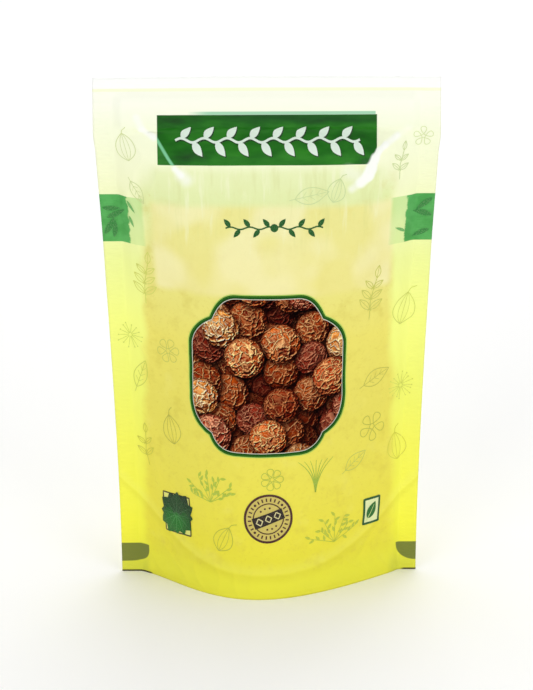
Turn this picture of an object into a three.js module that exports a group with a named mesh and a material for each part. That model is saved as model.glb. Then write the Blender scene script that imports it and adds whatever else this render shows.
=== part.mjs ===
// A filled stand-up food pouch: printed front and back films sealed together down both sides and across the
// top, a bottom gusset film whose belly rests on the table, a press-to-close zip below the top seal, and the
// dried berries inside. Millimetres. +Z is up, the printed front faces -Y, and +X is on the right of someone
// who looks at that front. The origin is on the table, under the middle.
import * as THREE from "three";
import { mergeVertices } from "three/addons/utils/BufferGeometryUtils.js";

// The pouch laid flat, a common 150 x 230 mm size.
const FLAT_WIDTH = 150;
const HEIGHT = 230;
const SIDE_SEAL = 8;
const TOP_SEAL = 6;
const FILM = 0.5; // thickness that each film is modelled with
const GAP = 0.3; // gap between two pieces that touch

// How far the filled front and back stand out from the middle plane.
const BASE_BULGE = 33;
const BULGE_TOP = 210; // height where the films close on the zip
const BULGE_FALL = 1.5; // how the bulge falls off towards the zip
const BULGE_EASE = 14; // the bulge's last stretch, where the straight zip flattens it
const FLAT_FROM = 130; // between these heights the rounded bulge turns into a flat face with rounded sides
const FLAT_TO = 195;
const FLAT_POWER = 2.6;
const FLAT_LOSS = 0.255; // share of its depth that the bulge loses there
const PROFILE_POWER = 1.3; // 1 would be a parabola across the pouch
const APEX_SKEW = 0.08; // how far the front's foot leans to the left, as a share of its half width
const FLANK_SKEW = 0.25; // how much flatter it is at its left end than at its right one
const SKEW_TOP = 120;

// The zip, and the raised housing that the films make round it.
const ZIP_HEIGHT = 214;
const ZIP_HALF_LENGTH = 62;
const HOUSING_RISE = 1.75;
const HOUSING_HALF_HEIGHT = 5.5;
const HOUSING_FADE = 4.5;
const HOUSING_END = 4; // the housing runs out this far past the zip's end
const FLANGE = 0.5;
const FLANGE_HALF_HEIGHT = 4.5;
const BEAD_RADIUS = 0.5;
const BEAD_SWEEP = 150; // degrees each side of the bead's nose
const STEM_HALF = 0.2;
const PRONG_INSIDE = 0.85;
const PRONG_OUTSIDE = 1.3;
const PRONG_TIP = 0.4; // the prongs pass the bead's middle by this much

// Two soft folds run down and inwards from the ends of the zip.
const FOLD_RISE = 1.1;
const FOLD_WIDTH = 5;
const FOLD_TOP = new THREE.Vector2(60, 206);
const FOLD_FOOT = new THREE.Vector2(27, 168);

// The gusset: the line where it parts from the front and back films, and its belly between them.
const SEAL_LOW = 10.5;
const SEAL_HIGH = 36;
const SEAL_REACH = 56.4;
const SEAL_POWER = 2.2;
const GUSSET_HALF = 52.5;
const BELLY_FLAT_X = 0.3 * GUSSET_HALF;
const BELLY_FLAT_Y = 12;
const BELLY_HIGH = 34;
const BELLY_REACH = 54;
const FOLD_DROP = 1.6; // the belly starts this far below the top of its fold

// The filling of dried berries.
const FILL_HALF = 50;
const FILL_TOP = 186;
const FILL_CROWN = 5; // its top is lower at the sides by this much
const FILL_CLEAR = 0.5;
const FILL_THINNEST = 0.6;
const BERRY_PITCH = 15;
const LUMP = 1.6; // how far a berry stands out of the filling

// How finely the curved pieces are divided.
const FILM_LEVELS = [
  0, 6, 12, 20, 30, 42, 55, 68, 82, 96, 110, 124, 138, 151, 162, 172, 180, 187, 193, 198.5, 203, 206.5,
  209.5, 214, 219, 221.5, HEIGHT - TOP_SEAL, HEIGHT,
];
const FILM_COLUMNS = 20;
const GUSSET_COLUMNS = 20;
const BELLY_SHARES = [-0.86, -0.7, -0.55, -0.4, -0.2, 0, 0.2, 0.4, 0.55, 0.7, 0.86];
const FILL_COLUMNS = 24;
const FILL_LEVELS = 26;
const ARC_STEPS = 48;

const clamp01 = (t) => Math.min(1, Math.max(0, t));
const smooth = (t) => clamp01(t) ** 2 * (3 - 2 * clamp01(t));
const range = (from, to, count) =>
  Array.from({ length: count + 1 }, (_, i) => from + ((to - from) * i) / count);

// Depth of the bulge at its apex, by height, and its shape across the pouch from side seal to side seal.
const flatness = (z) => smooth((z - FLAT_FROM) / (FLAT_TO - FLAT_FROM));
const bulge = (z) =>
  BASE_BULGE *
  Math.sqrt(1 - clamp01(z / BULGE_TOP) ** BULGE_FALL) *
  smooth((BULGE_TOP - z) / BULGE_EASE) *
  (1 - FLAT_LOSS * flatness(z));
const profile = (share, z, power = PROFILE_POWER) =>
  Math.max(0, 1 - Math.abs(share) ** (2 + FLAT_POWER * flatness(z))) ** power;

// The half chord of a bulging film between its side seals. Its length across stays that of the flat film.
const chords = new Map();
function halfChord(z) {
  if (chords.has(z)) return chords.get(z);
  const shares = range(-1, 1, ARC_STEPS);
  const arc = (half) =>
    shares.slice(1).reduce((sum, share, i) => {
      const rise = bulge(z) * (profile(share, z) - profile(shares[i], z));
      return sum + Math.hypot((share - shares[i]) * half, rise);
    }, 0);
  let low = BASE_BULGE;
  let high = FLAT_WIDTH / 2;
  while (high - low > 1e-4) {
    const middle = (low + high) / 2;
    if (arc(middle) > FLAT_WIDTH - 2 * SIDE_SEAL) high = middle;
    else low = middle;
  }
  chords.set(z, low);
  return low;
}

// Height of the soft fold that runs from each end of the zip.
function fold(x, z) {
  const run = FOLD_TOP.clone().sub(FOLD_FOOT);
  const point = new THREE.Vector2(Math.abs(x), z).sub(FOLD_FOOT);
  const along = clamp01(point.dot(run) / run.lengthSq());
  const away = point.distanceTo(run.clone().multiplyScalar(along));
  const ends = smooth(4 * along) * smooth(4 * (1 - along));
  return FOLD_RISE * Math.exp(-((away / FOLD_WIDTH) ** 2)) * ends;
}

// Distance of a film's inner face from the middle plane. side is -1 on the front and 1 on the back.
function bodyDepth(x, z, side) {
  const share = Math.min(1, Math.max(-1, x / halfChord(z)));
  const skew = side < 0 ? smooth(1 - z / SKEW_TOP) : 0;
  const leaning = share + skew * APEX_SKEW * (1 - share * share);
  return bulge(z) * profile(leaning, z, PROFILE_POWER - skew * FLANK_SKEW * share);
}
function filmDepth(x, z, side) {
  if (z >= HEIGHT - TOP_SEAL) return GAP / 2;
  const housing =
    HOUSING_RISE *
    smooth(1 - (Math.abs(z - ZIP_HEIGHT) - HOUSING_HALF_HEIGHT) / HOUSING_FADE) *
    smooth((ZIP_HALF_LENGTH + HOUSING_END - Math.abs(x)) / (HOUSING_END - 1));
  return GAP / 2 + Math.max(bodyDepth(x, z, side) + fold(x, z), housing);
}

// Faces are turned outwards by the sign of the enclosed volume.
function geometryOf(points, triangles) {
  const corner = (k) => points[triangles[k]];
  let volume = 0;
  for (let i = 0; i < triangles.length; i += 3)
    volume += corner(i).dot(new THREE.Vector3().crossVectors(corner(i + 1), corner(i + 2)));
  if (volume < 0) triangles.reverse();
  const geometry = new THREE.BufferGeometry().setFromPoints(points).setIndex(triangles);
  return mergeVertices(geometry, 1e-4);
}

// A closed thin solid through cross-sections that are each a list of [outer, inner] pairs of points.
function stripSolid(sections) {
  const points = sections.flat(2);
  const triangles = [];
  const columns = sections[0].length;
  const lastRow = sections.length - 1;
  const lastColumn = columns - 1;
  const at = (row, column, layer) => 2 * (row * columns + column) + layer;
  const quad = (a, b, c, d) => triangles.push(a, b, c, a, c, d);
  for (let r = 0; r < lastRow; r++) {
    for (let c = 0; c < lastColumn; c++) {
      quad(at(r, c, 0), at(r, c + 1, 0), at(r + 1, c + 1, 0), at(r + 1, c, 0));
      quad(at(r, c, 1), at(r + 1, c, 1), at(r + 1, c + 1, 1), at(r, c + 1, 1));
    }
    quad(at(r, 0, 0), at(r + 1, 0, 0), at(r + 1, 0, 1), at(r, 0, 1));
    quad(at(r, lastColumn, 0), at(r, lastColumn, 1), at(r + 1, lastColumn, 1), at(r + 1, lastColumn, 0));
  }
  for (let c = 0; c < lastColumn; c++) {
    quad(at(0, c, 0), at(0, c, 1), at(0, c + 1, 1), at(0, c + 1, 0));
    quad(at(lastRow, c, 0), at(lastRow, c + 1, 0), at(lastRow, c + 1, 1), at(lastRow, c, 1));
  }
  return geometryOf(points, triangles);
}

// A closed solid through cross-sections that are convex loops.
function loopSolid(loops) {
  const count = loops[0].length;
  const points = loops.flat();
  const triangles = [];
  for (let r = 0; r + 1 < loops.length; r++)
    for (let i = 0; i < count; i++) {
      const a = r * count + i;
      const b = r * count + ((i + 1) % count);
      triangles.push(a, b, b + count, a, b + count, a + count);
    }
  for (const row of [0, loops.length - 1]) {
    const centre = points.length;
    const sum = loops[row].reduce((total, point) => total.add(point), new THREE.Vector3());
    points.push(sum.divideScalar(count));
    for (let i = 0; i < count; i++) {
      const a = row * count + i;
      const b = row * count + ((i + 1) % count);
      triangles.push(centre, ...(row === 0 ? [b, a] : [a, b]));
    }
  }
  return geometryOf(points, triangles);
}

// The front or back film, in level cross-sections from the table to the top edge.
function filmSolid(side) {
  const step = 0.5;
  const sections = FILM_LEVELS.map((z) => {
    const half = halfChord(z);
    const bunched = (share) => half * (0.35 * Math.sin((share * Math.PI) / 2) + 0.65 * share);
    const across = [-half - SIDE_SEAL, ...range(-1, 1, FILM_COLUMNS).map(bunched), half + SIDE_SEAL];
    return across.map((x) => {
      const depth = filmDepth(x, z, side);
      const rise = filmDepth(x + step, z, side) - filmDepth(x - step, z, side);
      const slope = Math.abs(x) > half - step ? 0 : rise / (2 * step);
      const length = Math.hypot(1, slope);
      const inner = new THREE.Vector3(x, side * depth, z);
      const outer = new THREE.Vector3(x - (FILM * slope) / length, side * (depth + FILM / length), z);
      return [outer, inner];
    });
  });
  return stripSolid(sections);
}

// The gusset film: sealed flaps against both films, and between them a belly that sags to the table.
const sealLine = (x) => SEAL_LOW + (SEAL_HIGH - SEAL_LOW) * (Math.abs(x) / SEAL_REACH) ** SEAL_POWER;
const bellyMiddle = (x) =>
  BELLY_HIGH * clamp01((Math.abs(x) - BELLY_FLAT_X) / (BELLY_REACH - BELLY_FLAT_X)) ** 2;
function bellyHeight(x, share) {
  const flat = BELLY_FLAT_Y / (BASE_BULGE - GAP - FILM);
  const rise = clamp01((Math.abs(share) - flat) / (1 - flat)) ** 2;
  return bellyMiddle(x) + (sealLine(x) - FOLD_DROP - bellyMiddle(x)) * rise;
}
function gussetSolid() {
  const sections = range(-GUSSET_HALF, GUSSET_HALF, GUSSET_COLUMNS).map((x) => {
    const top = sealLine(x);
    const wall = (z, side) => side * (filmDepth(x, z, side) - GAP);
    const flap = (side, z, innerZ) => [
      new THREE.Vector3(x, wall(z, side), z),
      new THREE.Vector3(x, wall(z, side) - side * FILM, innerZ),
    ];
    const front = [flap(-1, 0, 0), flap(-1, top / 2, top / 2), flap(-1, top, top - FOLD_DROP)];
    const back = [flap(1, top, top - FOLD_DROP), flap(1, top / 2, top / 2), flap(1, 0, 0)];
    const belly = BELLY_SHARES.map((share) => {
      const y = share * (Math.abs(wall(top, Math.sign(share) || 1)) - FILM);
      const z = bellyHeight(x, share);
      return [new THREE.Vector3(x, y, z + FILM), new THREE.Vector3(x, y, z)];
    });
    return [...front, ...belly, ...back];
  });
  return stripSolid(sections);
}

// The filling follows the films and the belly, with a lump for each berry that presses on them.
function lump(x, z) {
  const across = Math.cos((Math.PI * x) / BERRY_PITCH + 0.35 * Math.sin(z / 11));
  const up = Math.cos((Math.PI * z) / BERRY_PITCH + 0.3 * Math.sin(x / 9));
  return LUMP * Math.abs(across * up);
}
function fillingSolid() {
  const loops = range(-FILL_HALF, FILL_HALF, FILL_COLUMNS).map((x) => {
    const low = sealLine(x) + 2;
    const top = FILL_TOP - FILL_CROWN * (x / FILL_HALF) ** 2 + lump(x, 0);
    const wall = (z, side) => {
      const bumps = lump(side < 0 ? x : x + BERRY_PITCH / 2, z) - LUMP;
      return side * Math.max(FILL_THINNEST, bodyDepth(x, z, side) + GAP / 2 - FILL_CLEAR + bumps);
    };
    const front = range(low, top, FILL_LEVELS).map((z) => new THREE.Vector3(x, wall(z, -1), z));
    const back = range(top, low, FILL_LEVELS).map((z) => new THREE.Vector3(x, wall(z, 1), z));
    const under = range(0.75, -0.75, 6).map((share) => {
      const side = Math.sign(share) || 1;
      const reach = Math.min(Math.abs(wall(low, side)), filmDepth(x, sealLine(x), side) - GAP - FILM);
      return new THREE.Vector3(x, share * reach, bellyHeight(x, share * 1.04) + FILM + FILL_CLEAR);
    });
    return [...front, ...back, ...under];
  });
  return loopSolid(loops);
}

// A zip strip is an outline in the YZ plane, drawn out along X.
function zipSolid(outline) {
  const shape = new THREE.Shape(outline.map(([y, z]) => new THREE.Vector2(y, z)));
  const solid = new THREE.ExtrudeGeometry(shape, { depth: 2 * ZIP_HALF_LENGTH, bevelEnabled: false });
  const [alongX, alongY, alongZ] = [0, 1, 2].map((k) => new THREE.Vector3().setComponent(k, 1));
  solid.applyMatrix4(new THREE.Matrix4().makeBasis(alongY, alongZ, alongX));
  return solid.translate(-ZIP_HALF_LENGTH, 0, ZIP_HEIGHT);
}
const FLANGE_INSIDE = GAP / 2 + HOUSING_RISE - GAP - FLANGE;
const FLANGE_OUTSIDE = FLANGE_INSIDE + FLANGE;

// The front strip: a flange with a round bead on a stem.
function ridgeOutline() {
  const bead = range(-BEAD_SWEEP, BEAD_SWEEP, 8).map((degrees) => {
    const angle = THREE.MathUtils.degToRad(degrees);
    return [BEAD_RADIUS * Math.cos(angle), BEAD_RADIUS * Math.sin(angle)];
  });
  return [
    [-FLANGE_OUTSIDE, -FLANGE_HALF_HEIGHT],
    [-FLANGE_INSIDE, -FLANGE_HALF_HEIGHT],
    [-FLANGE_INSIDE, -STEM_HALF],
    ...bead,
    [-FLANGE_INSIDE, STEM_HALF],
    [-FLANGE_INSIDE, FLANGE_HALF_HEIGHT],
    [-FLANGE_OUTSIDE, FLANGE_HALF_HEIGHT],
  ];
}

// The back strip: a flange with two prongs that hold the bead between them.
function grooveOutline() {
  return [
    [FLANGE_OUTSIDE, -FLANGE_HALF_HEIGHT],
    [FLANGE_OUTSIDE, FLANGE_HALF_HEIGHT],
    [FLANGE_INSIDE, FLANGE_HALF_HEIGHT],
    [FLANGE_INSIDE, PRONG_OUTSIDE],
    [-PRONG_TIP, PRONG_OUTSIDE],
    [-PRONG_TIP, PRONG_INSIDE],
    [FLANGE_INSIDE, PRONG_INSIDE],
    [FLANGE_INSIDE, -PRONG_INSIDE],
    [-PRONG_TIP, -PRONG_INSIDE],
    [-PRONG_TIP, -PRONG_OUTSIDE],
    [FLANGE_INSIDE, -PRONG_OUTSIDE],
    [FLANGE_INSIDE, -FLANGE_HALF_HEIGHT],
  ];
}

const printedFilm = new THREE.MeshStandardMaterial({ color: 0xe9e25a, roughness: 0.4, metalness: 0 });
const gussetFilm = new THREE.MeshStandardMaterial({ color: 0xdcd84a, roughness: 0.45, metalness: 0 });
const zipPlastic = new THREE.MeshStandardMaterial({ color: 0xf2f4e6, roughness: 0.35, metalness: 0 });
const driedFruit = new THREE.MeshStandardMaterial({ color: 0x8a4218, roughness: 0.75, metalness: 0 });

const pouch = new THREE.Group();
function add(name, geometry, material) {
  const mesh = new THREE.Mesh(geometry, material);
  mesh.name = name;
  pouch.add(mesh);
}
add("front_film", filmSolid(-1), printedFilm);
add("back_film", filmSolid(1), printedFilm);
add("gusset_film", gussetSolid(), gussetFilm);
add("zip_ridge_strip", zipSolid(ridgeOutline()), zipPlastic);
add("zip_groove_strip", zipSolid(grooveOutline()), zipPlastic);
add("dried_berry_filling", fillingSolid(), driedFruit);

export default pouch;
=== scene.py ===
import math

import bpy
import numpy as np
from bpy.props import FloatProperty, FloatVectorProperty, IntProperty, PointerProperty
from mathutils import Matrix, Vector


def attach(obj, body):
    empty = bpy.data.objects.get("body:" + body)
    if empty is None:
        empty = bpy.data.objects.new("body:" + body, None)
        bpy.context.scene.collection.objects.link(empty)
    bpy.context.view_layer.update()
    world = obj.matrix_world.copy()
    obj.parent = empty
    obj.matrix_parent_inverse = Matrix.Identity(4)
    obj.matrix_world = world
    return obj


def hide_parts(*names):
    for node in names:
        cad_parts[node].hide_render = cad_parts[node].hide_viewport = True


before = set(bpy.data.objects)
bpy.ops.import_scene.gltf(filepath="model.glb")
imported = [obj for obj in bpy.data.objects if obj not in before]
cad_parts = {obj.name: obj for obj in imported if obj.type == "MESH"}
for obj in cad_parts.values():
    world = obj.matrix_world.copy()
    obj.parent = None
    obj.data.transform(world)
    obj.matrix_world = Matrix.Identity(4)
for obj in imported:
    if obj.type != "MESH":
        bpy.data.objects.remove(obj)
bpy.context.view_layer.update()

bl_info = {
    "name": "Stand-up pouch of dried berries",
    "version": (1, 0, 0),
    "blender": (4, 5, 0),
    "location": "View3D > Sidebar > Pouch",
    "description": "Printed yellow stand-up pouch with a zip, a gusset and a berry picture",
    "category": "Add Mesh",
}

MM = 0.001
FRONT = -1
BACK = 1

# The flat film, in millimetres: u runs across it from the middle, z up it from its foot.
FLAT_HALF = 75.0
HEIGHT = 230.0
SIDE_SEAL = 8.0
SEALED_AT = FLAT_HALF - SIDE_SEAL
TOP_SEAL_AT = 224.0

# The filled shape.
BASE_BULGE = 33.0
BULGE_TOP = 210.0
BULGE_FALL = 1.5
BULGE_EASE = 14.0
PROFILE_POWER = 1.3
FLAT_FROM = 130.0
FLAT_TO = 195.0
FLAT_POWER = 2.6
FLAT_LOSS = 0.255
APEX_SKEW = 0.08
FLANK_SKEW = 0.25
SKEW_TOP = 120.0
ZIP_HEIGHT = 214.0
ZIP_HALF_LENGTH = 62.0
HOUSING_RISE = 1.75
HOUSING_HALF_HEIGHT = 5.5
HOUSING_FADE = 4.5
FOLD_RISE = 1.1
FOLD_WIDTH = 5.0
FOLD_TOP = (60.0, 206.0)
FOLD_FOOT = (27.0, 168.0)
SEAL_LOW = 10.5
SEAL_HIGH = 36.0
SEAL_REACH = 56.4
SEAL_POWER = 2.2
GUSSET_HALF = 52.5
BELLY_FLAT_X = 0.3 * GUSSET_HALF
BELLY_FLAT_Y = 12.0
BELLY_HIGH = 34.0
BELLY_REACH = 54.0
FOLD_DROP = 1.6
FILM_THICK = 0.32
FACE_SEALED = 0.34  # outer face's distance from the middle plane where the films are sealed
FACE_FREE = 0.62  # and where they are apart

# Shares of the bake map's height.
OUTER_TOP = 0.955
INNER_FOOT = 0.962
INNER_TOP = 0.978
RIM_FOOT = 0.985


def clamp01(t):
    return np.clip(t, 0.0, 1.0)


def smooth(t):
    t = clamp01(t)
    return t * t * (3 - 2 * t)


def gauss(t):
    return np.exp(-t * t)


# Noise


def gradient_noise(p, order, slopes):
    """Smooth noise at points of two or three dimensions, from a slope at each corner of a lattice."""
    cell = np.floor(p).astype(int)
    f = p - cell
    w = f**3 * (f * (f * 6 - 15) + 10)
    total = 0
    for corner in np.ndindex(*(2,) * p.shape[-1]):
        at = 0
        for axis, step in enumerate(corner):
            at = order[(at + cell[..., axis] + step) & 255]
        share = np.where(corner, w, 1 - w).prod(-1)
        total = total + share * (slopes[at] * (f - corner)).sum(-1)
    return total


def noise2(x, y, seed):
    """Noise of a plane, about -0.7 to 0.7."""
    rng = np.random.default_rng(seed)
    turns = rng.uniform(0, 2 * np.pi, 256)
    slopes = np.stack([np.cos(turns), np.sin(turns)], 1)
    places = np.stack(np.broadcast_arrays(x, y), -1).astype(float)
    return gradient_noise(places, rng.permutation(256), slopes)


def noise3(p, seed):
    """Noise of space."""
    rng = np.random.default_rng(seed)
    order, slopes = rng.permutation(256), rng.normal(size=(256, 3))
    slopes /= np.linalg.norm(slopes, axis=1, keepdims=True)
    return gradient_noise(p, order, slopes)


# The film's surface


def flatness(z):
    return smooth((z - FLAT_FROM) / (FLAT_TO - FLAT_FROM))


def bulge(z):
    fall = np.sqrt(1 - clamp01(z / BULGE_TOP) ** BULGE_FALL)
    return BASE_BULGE * fall * smooth((BULGE_TOP - z) / BULGE_EASE) * (1 - FLAT_LOSS * flatness(z))


def profile(share, z, power=PROFILE_POWER):
    return np.clip(1 - np.abs(share) ** (2 + FLAT_POWER * flatness(z)), 0, None) ** power


def half_chords(z):
    """Half the distance between the side seals at each height, where the film keeps its length across."""
    shares = np.linspace(-1, 1, 97)
    step, rise = np.diff(shares), bulge(z)[:, None] * np.diff(profile(shares, z[:, None]), axis=1)
    low, high = np.full(len(z), BASE_BULGE), np.full(len(z), FLAT_HALF)
    for _ in range(26):
        middle = (low + high) / 2
        long = np.hypot(np.outer(middle, step), rise).sum(1) > 2 * SEALED_AT
        low, high = np.where(long, low, middle), np.where(long, middle, high)
    return low


TABLE_Z = np.linspace(0, HEIGHT, 461)
TABLE_U = np.linspace(-FLAT_HALF, FLAT_HALF, 601)
TABLE_CHORD = half_chords(TABLE_Z)


def body_depth(x, z, side):
    share = np.clip(x / np.interp(z, TABLE_Z, TABLE_CHORD), -1, 1)
    skew = smooth(1 - z / SKEW_TOP) if side == FRONT else 0.0
    leaning = share + skew * APEX_SKEW * (1 - share * share)
    return bulge(z) * profile(leaning, z, PROFILE_POWER - skew * FLANK_SKEW * share)


def across_table(side):
    """x for each height and each place across the flat film."""
    rows = []
    for z, half in zip(TABLE_Z, TABLE_CHORD):
        x = np.linspace(-half, half, 193)
        y = body_depth(x, z, side)
        run = np.concatenate([[0], np.cumsum(np.hypot(np.diff(x), np.diff(y)))])
        run = SEALED_AT * (2 * run / run[-1] - 1)
        seal = np.sign(TABLE_U) * (half + np.abs(TABLE_U) - SEALED_AT)
        rows.append(np.where(np.abs(TABLE_U) < SEALED_AT, np.interp(TABLE_U, run, x), seal))
    return np.array(rows)


ACROSS = {side: across_table(side) for side in (FRONT, BACK)}


def across(u, z, side):
    row = np.clip(z / HEIGHT, 0, 1) * (len(TABLE_Z) - 1)
    column = np.clip(u / FLAT_HALF / 2 + 0.5, 0, 1) * (len(TABLE_U) - 1)
    r = np.minimum(row.astype(int), len(TABLE_Z) - 2)
    c = np.minimum(column.astype(int), len(TABLE_U) - 2)
    fr, fc, table = row - r, column - c, ACROSS[side]
    low = table[r, c] * (1 - fc) + table[r, c + 1] * fc
    high = table[r + 1, c] * (1 - fc) + table[r + 1, c + 1] * fc
    return low * (1 - fr) + high * fr


def fold(x, z):
    run = np.array(FOLD_TOP) - FOLD_FOOT
    px, pz = np.abs(x) - FOLD_FOOT[0], z - FOLD_FOOT[1]
    along = clamp01((px * run[0] + pz * run[1]) / run.dot(run))
    away = np.hypot(px - along * run[0], pz - along * run[1])
    return FOLD_RISE * gauss(away / FOLD_WIDTH) * smooth(4 * along) * smooth(4 * (1 - along))


def face_depth(x, z, side):
    """The smooth outer face's distance from the middle plane."""
    body = body_depth(x, z, side) + fold(x, z)
    housing = HOUSING_RISE * smooth(1 - (np.abs(z - ZIP_HEIGHT) - HOUSING_HALF_HEIGHT) / HOUSING_FADE)
    housing = housing * smooth((ZIP_HALF_LENGTH + 5 - np.abs(x)) / 5)
    blend = np.minimum(0.9, 0.5 * np.maximum(body, housing))
    out = (body + housing + np.hypot(body - housing, blend)) / 2
    return FACE_SEALED + (FACE_FREE - FACE_SEALED) * smooth(out / 2) + out


def seal_line(x):
    return SEAL_LOW + (SEAL_HIGH - SEAL_LOW) * (np.abs(x) / SEAL_REACH) ** SEAL_POWER


# Sharp creases pressed into the film: from, to, half width and height, in flat millimetres.
CREASES = {
    FRONT: (
        ((-57, 209), (-49, 204), 2.6, 0.8),
        ((-49, 204), (-40.8, 192.9), 2.6, 0.9),
        ((-40.8, 192.9), (-34, 184), 3.2, 0.8),
        ((61, 207.5), (51.1, 200.2), 2.8, 0.8),
        ((51.1, 200.2), (46.6, 195.2), 2.8, 1.0),
        ((46.6, 195.2), (44.2, 189), 3.2, 1.0),
        ((44.2, 189), (37, 182.5), 3.4, 0.9),
        ((-30, 209), (4, 203.5), 3.0, -0.22),
        ((12, 204), (44, 209), 3.0, -0.2),
        ((-38, 198), (-14, 203), 2.6, 0.18),
        ((-68, 186), (-56, 168), 3.0, 0.45),
        ((67, 182), (57, 160), 3.2, 0.45),
        ((-62, 40), (-46, 14), 2.4, -0.5),
        ((62, 38), (46, 13), 2.4, -0.5),
        ((-58, 60), (-50, 30), 3.0, 0.4),
        ((60, 66), (52, 34), 3.0, 0.4),
        ((-30, 17), (-12, 9), 2.0, 0.25),
        ((14, 8), (34, 16), 2.0, 0.25),
    ),
    BACK: (
        ((-58, 208), (-42, 190), 3.4, 1.0),
        ((57, 209), (44, 193), 3.0, 1.0),
        ((-20, 210), (14, 203), 2.2, -0.4),
        ((-62, 44), (-46, 16), 2.6, -0.5),
        ((62, 42), (47, 15), 2.6, -0.5),
        ((-66, 176), (-54, 150), 3.2, 0.5),
        ((66, 170), (56, 148), 3.2, 0.5),
    ),
}


def crease(u, z, start, end, half_width, height):
    start, run = np.array(start, float), np.subtract(end, start).astype(float)
    pu, pz = u - start[0], z - start[1]
    along = (pu * run[0] + pz * run[1]) / run.dot(run)
    held = clamp01(along)
    away = np.hypot(pu - held * run[0], pz - held * run[1])
    return height * np.exp(-((away / half_width) ** 1.25))


def relief(u, z, x, side):
    """How far the crinkles, lumps and embossing stand out of the smooth face."""
    seed = 11 if side == FRONT else 31
    inside = smooth((SEALED_AT - np.abs(u)) / 5) * smooth((HEIGHT - 6 - z) / 6)
    filled = smooth((54 - np.abs(x)) / 9) * smooth((188 - z) / 16) * smooth((z - 10) / 12)
    out = filled * (0.42 * noise2(u / 8.5, z / 8.5, seed) + 0.16 * noise2(u / 3.6, z / 3.6, seed + 1))
    housed = smooth((ZIP_HALF_LENGTH + 5 - np.abs(x)) / 4) * smooth((13 - np.abs(z - ZIP_HEIGHT)) / 5)
    out = out + 0.75 * inside * (1 - 0.9 * housed) * noise2(u / 34, z / 42, seed + 2)
    empty = inside * (1 - filled)
    ridges = 1 - np.abs(noise2(u / 13 + 0.3 * z / 13, z / 19, seed + 3)) * 2.2
    out = out + 0.30 * empty * (1 - 0.7 * housed) * clamp01(ridges) ** 4
    for mark in CREASES[side]:
        out = out + crease(u, z, *mark) * smooth((70 - np.abs(u)) / 6)
    zipped = smooth((ZIP_HALF_LENGTH - np.abs(x)) / 3)
    for track in (-2.6, 1.6):
        out = out + 0.16 * zipped * gauss((z - ZIP_HEIGHT - track) / 0.8)
    out = out - 0.10 * gauss((np.abs(u) - SEALED_AT) / 0.9)
    out = out - 0.10 * gauss((z - TOP_SEAL_AT) / 0.7)
    out = out - 0.07 * inside * gauss((z - seal_line(x)) / 1.4)
    pressed = smooth((seal_line(x) - z) / 3) * inside
    return out + 0.12 * pressed * noise2(u / 5, z / 3.2, seed + 4)


def sway(u, z):
    """The sealed edges and the lip above the zip wave a little, both films together."""
    edge = smooth((np.abs(u) - 60) / 10)
    lip = smooth((z - 220) / 9)
    wave = 0.55 * np.sin(z / 23 + 0.8 + 0.9 * np.sign(u)) * edge
    return wave + lip * (0.7 * np.cos(np.pi * u / 90) - 0.6 * noise2(u / 40, 0.5, 5))


def smooth_point(u, z, side):
    x = across(u, z, side)
    return np.stack([x, side * face_depth(x, z, side) + sway(u, z), z], -1)


def film_points(u, z, side, lift=0.0):
    """Places on the film's outer face for flat places (u, z), raised by lift, in millimetres."""
    u, z = np.broadcast_arrays(np.asarray(u, float), np.asarray(z, float))
    at = smooth_point(u, z, side)
    d = 0.4
    du = smooth_point(np.clip(u + d, -FLAT_HALF, FLAT_HALF), z, side)
    du = du - smooth_point(np.clip(u - d, -FLAT_HALF, FLAT_HALF), z, side)
    dz = smooth_point(u, np.clip(z + d, 0, HEIGHT), side) - smooth_point(u, np.clip(z - d, 0, HEIGHT), side)
    normal = np.cross(du, dz)
    normal = normal / np.linalg.norm(normal, axis=-1, keepdims=True)
    normal = normal * np.sign(normal[..., 1:2] * side + 1e-9)
    # The foot stays where it is.
    raised = lift + relief(u, z, at[..., 0], side) * smooth(z / 3)
    return at + normal * raised[..., None]


# Meshes


def new_piece(name, points, faces, material):
    mesh = bpy.data.meshes.new(name)
    points = np.asarray(points, np.float32).reshape(-1, 3) * MM
    faces = np.asarray(faces, np.int32)
    mesh.vertices.add(len(points))
    mesh.vertices.foreach_set("co", points.ravel())
    mesh.loops.add(faces.size)
    mesh.loops.foreach_set("vertex_index", faces.ravel())
    mesh.polygons.add(len(faces))
    mesh.polygons.foreach_set("loop_start", np.arange(0, faces.size, faces.shape[1], dtype=np.int32))
    mesh.polygons.foreach_set("use_smooth", np.ones(len(faces), bool))
    mesh.update(calc_edges=True)
    mesh.validate()
    mesh.materials.append(material)
    piece = bpy.data.objects.new(name, mesh)
    bpy.context.scene.collection.objects.link(piece)
    return piece


def grid_faces(rows, columns, first=0, flip=False):
    at = first + np.arange(rows * columns).reshape(rows, columns)
    corners = [at[:-1, :-1], at[:-1, 1:], at[1:, 1:], at[1:, :-1]]
    if flip:
        corners.reverse()
    return np.stack(corners, -1).reshape(-1, 4)


def shell_faces(rows, columns, flip):
    """Quads of a closed thin sheet: an outer grid, an inner grid after it, and the rim between them."""
    count = rows * columns
    outer = grid_faces(rows, columns, 0, flip)
    inner = grid_faces(rows, columns, count, not flip)
    at = np.arange(count).reshape(rows, columns)
    loop = np.concatenate([at[0, :-1], at[:-1, -1], at[-1, :0:-1], at[:0:-1, 0]])
    after = np.roll(loop, -1)
    rim = np.stack([after, loop, loop + count, after + count], -1)
    if flip:
        rim = rim[:, ::-1]
    return np.concatenate([outer, inner, rim])


def set_print_map(piece, u, z):
    """The print's own map, which is the flat film over the whole square."""
    flat = np.stack([np.ravel(u) / (2 * FLAT_HALF) + 0.5, np.ravel(z) / HEIGHT], -1).astype(np.float32)
    index = np.zeros(len(piece.data.loops), np.int32)
    piece.data.loops.foreach_get("vertex_index", index)
    piece.data.uv_layers.new(name="print").uv.foreach_set("vector", flat[index].ravel())


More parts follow.
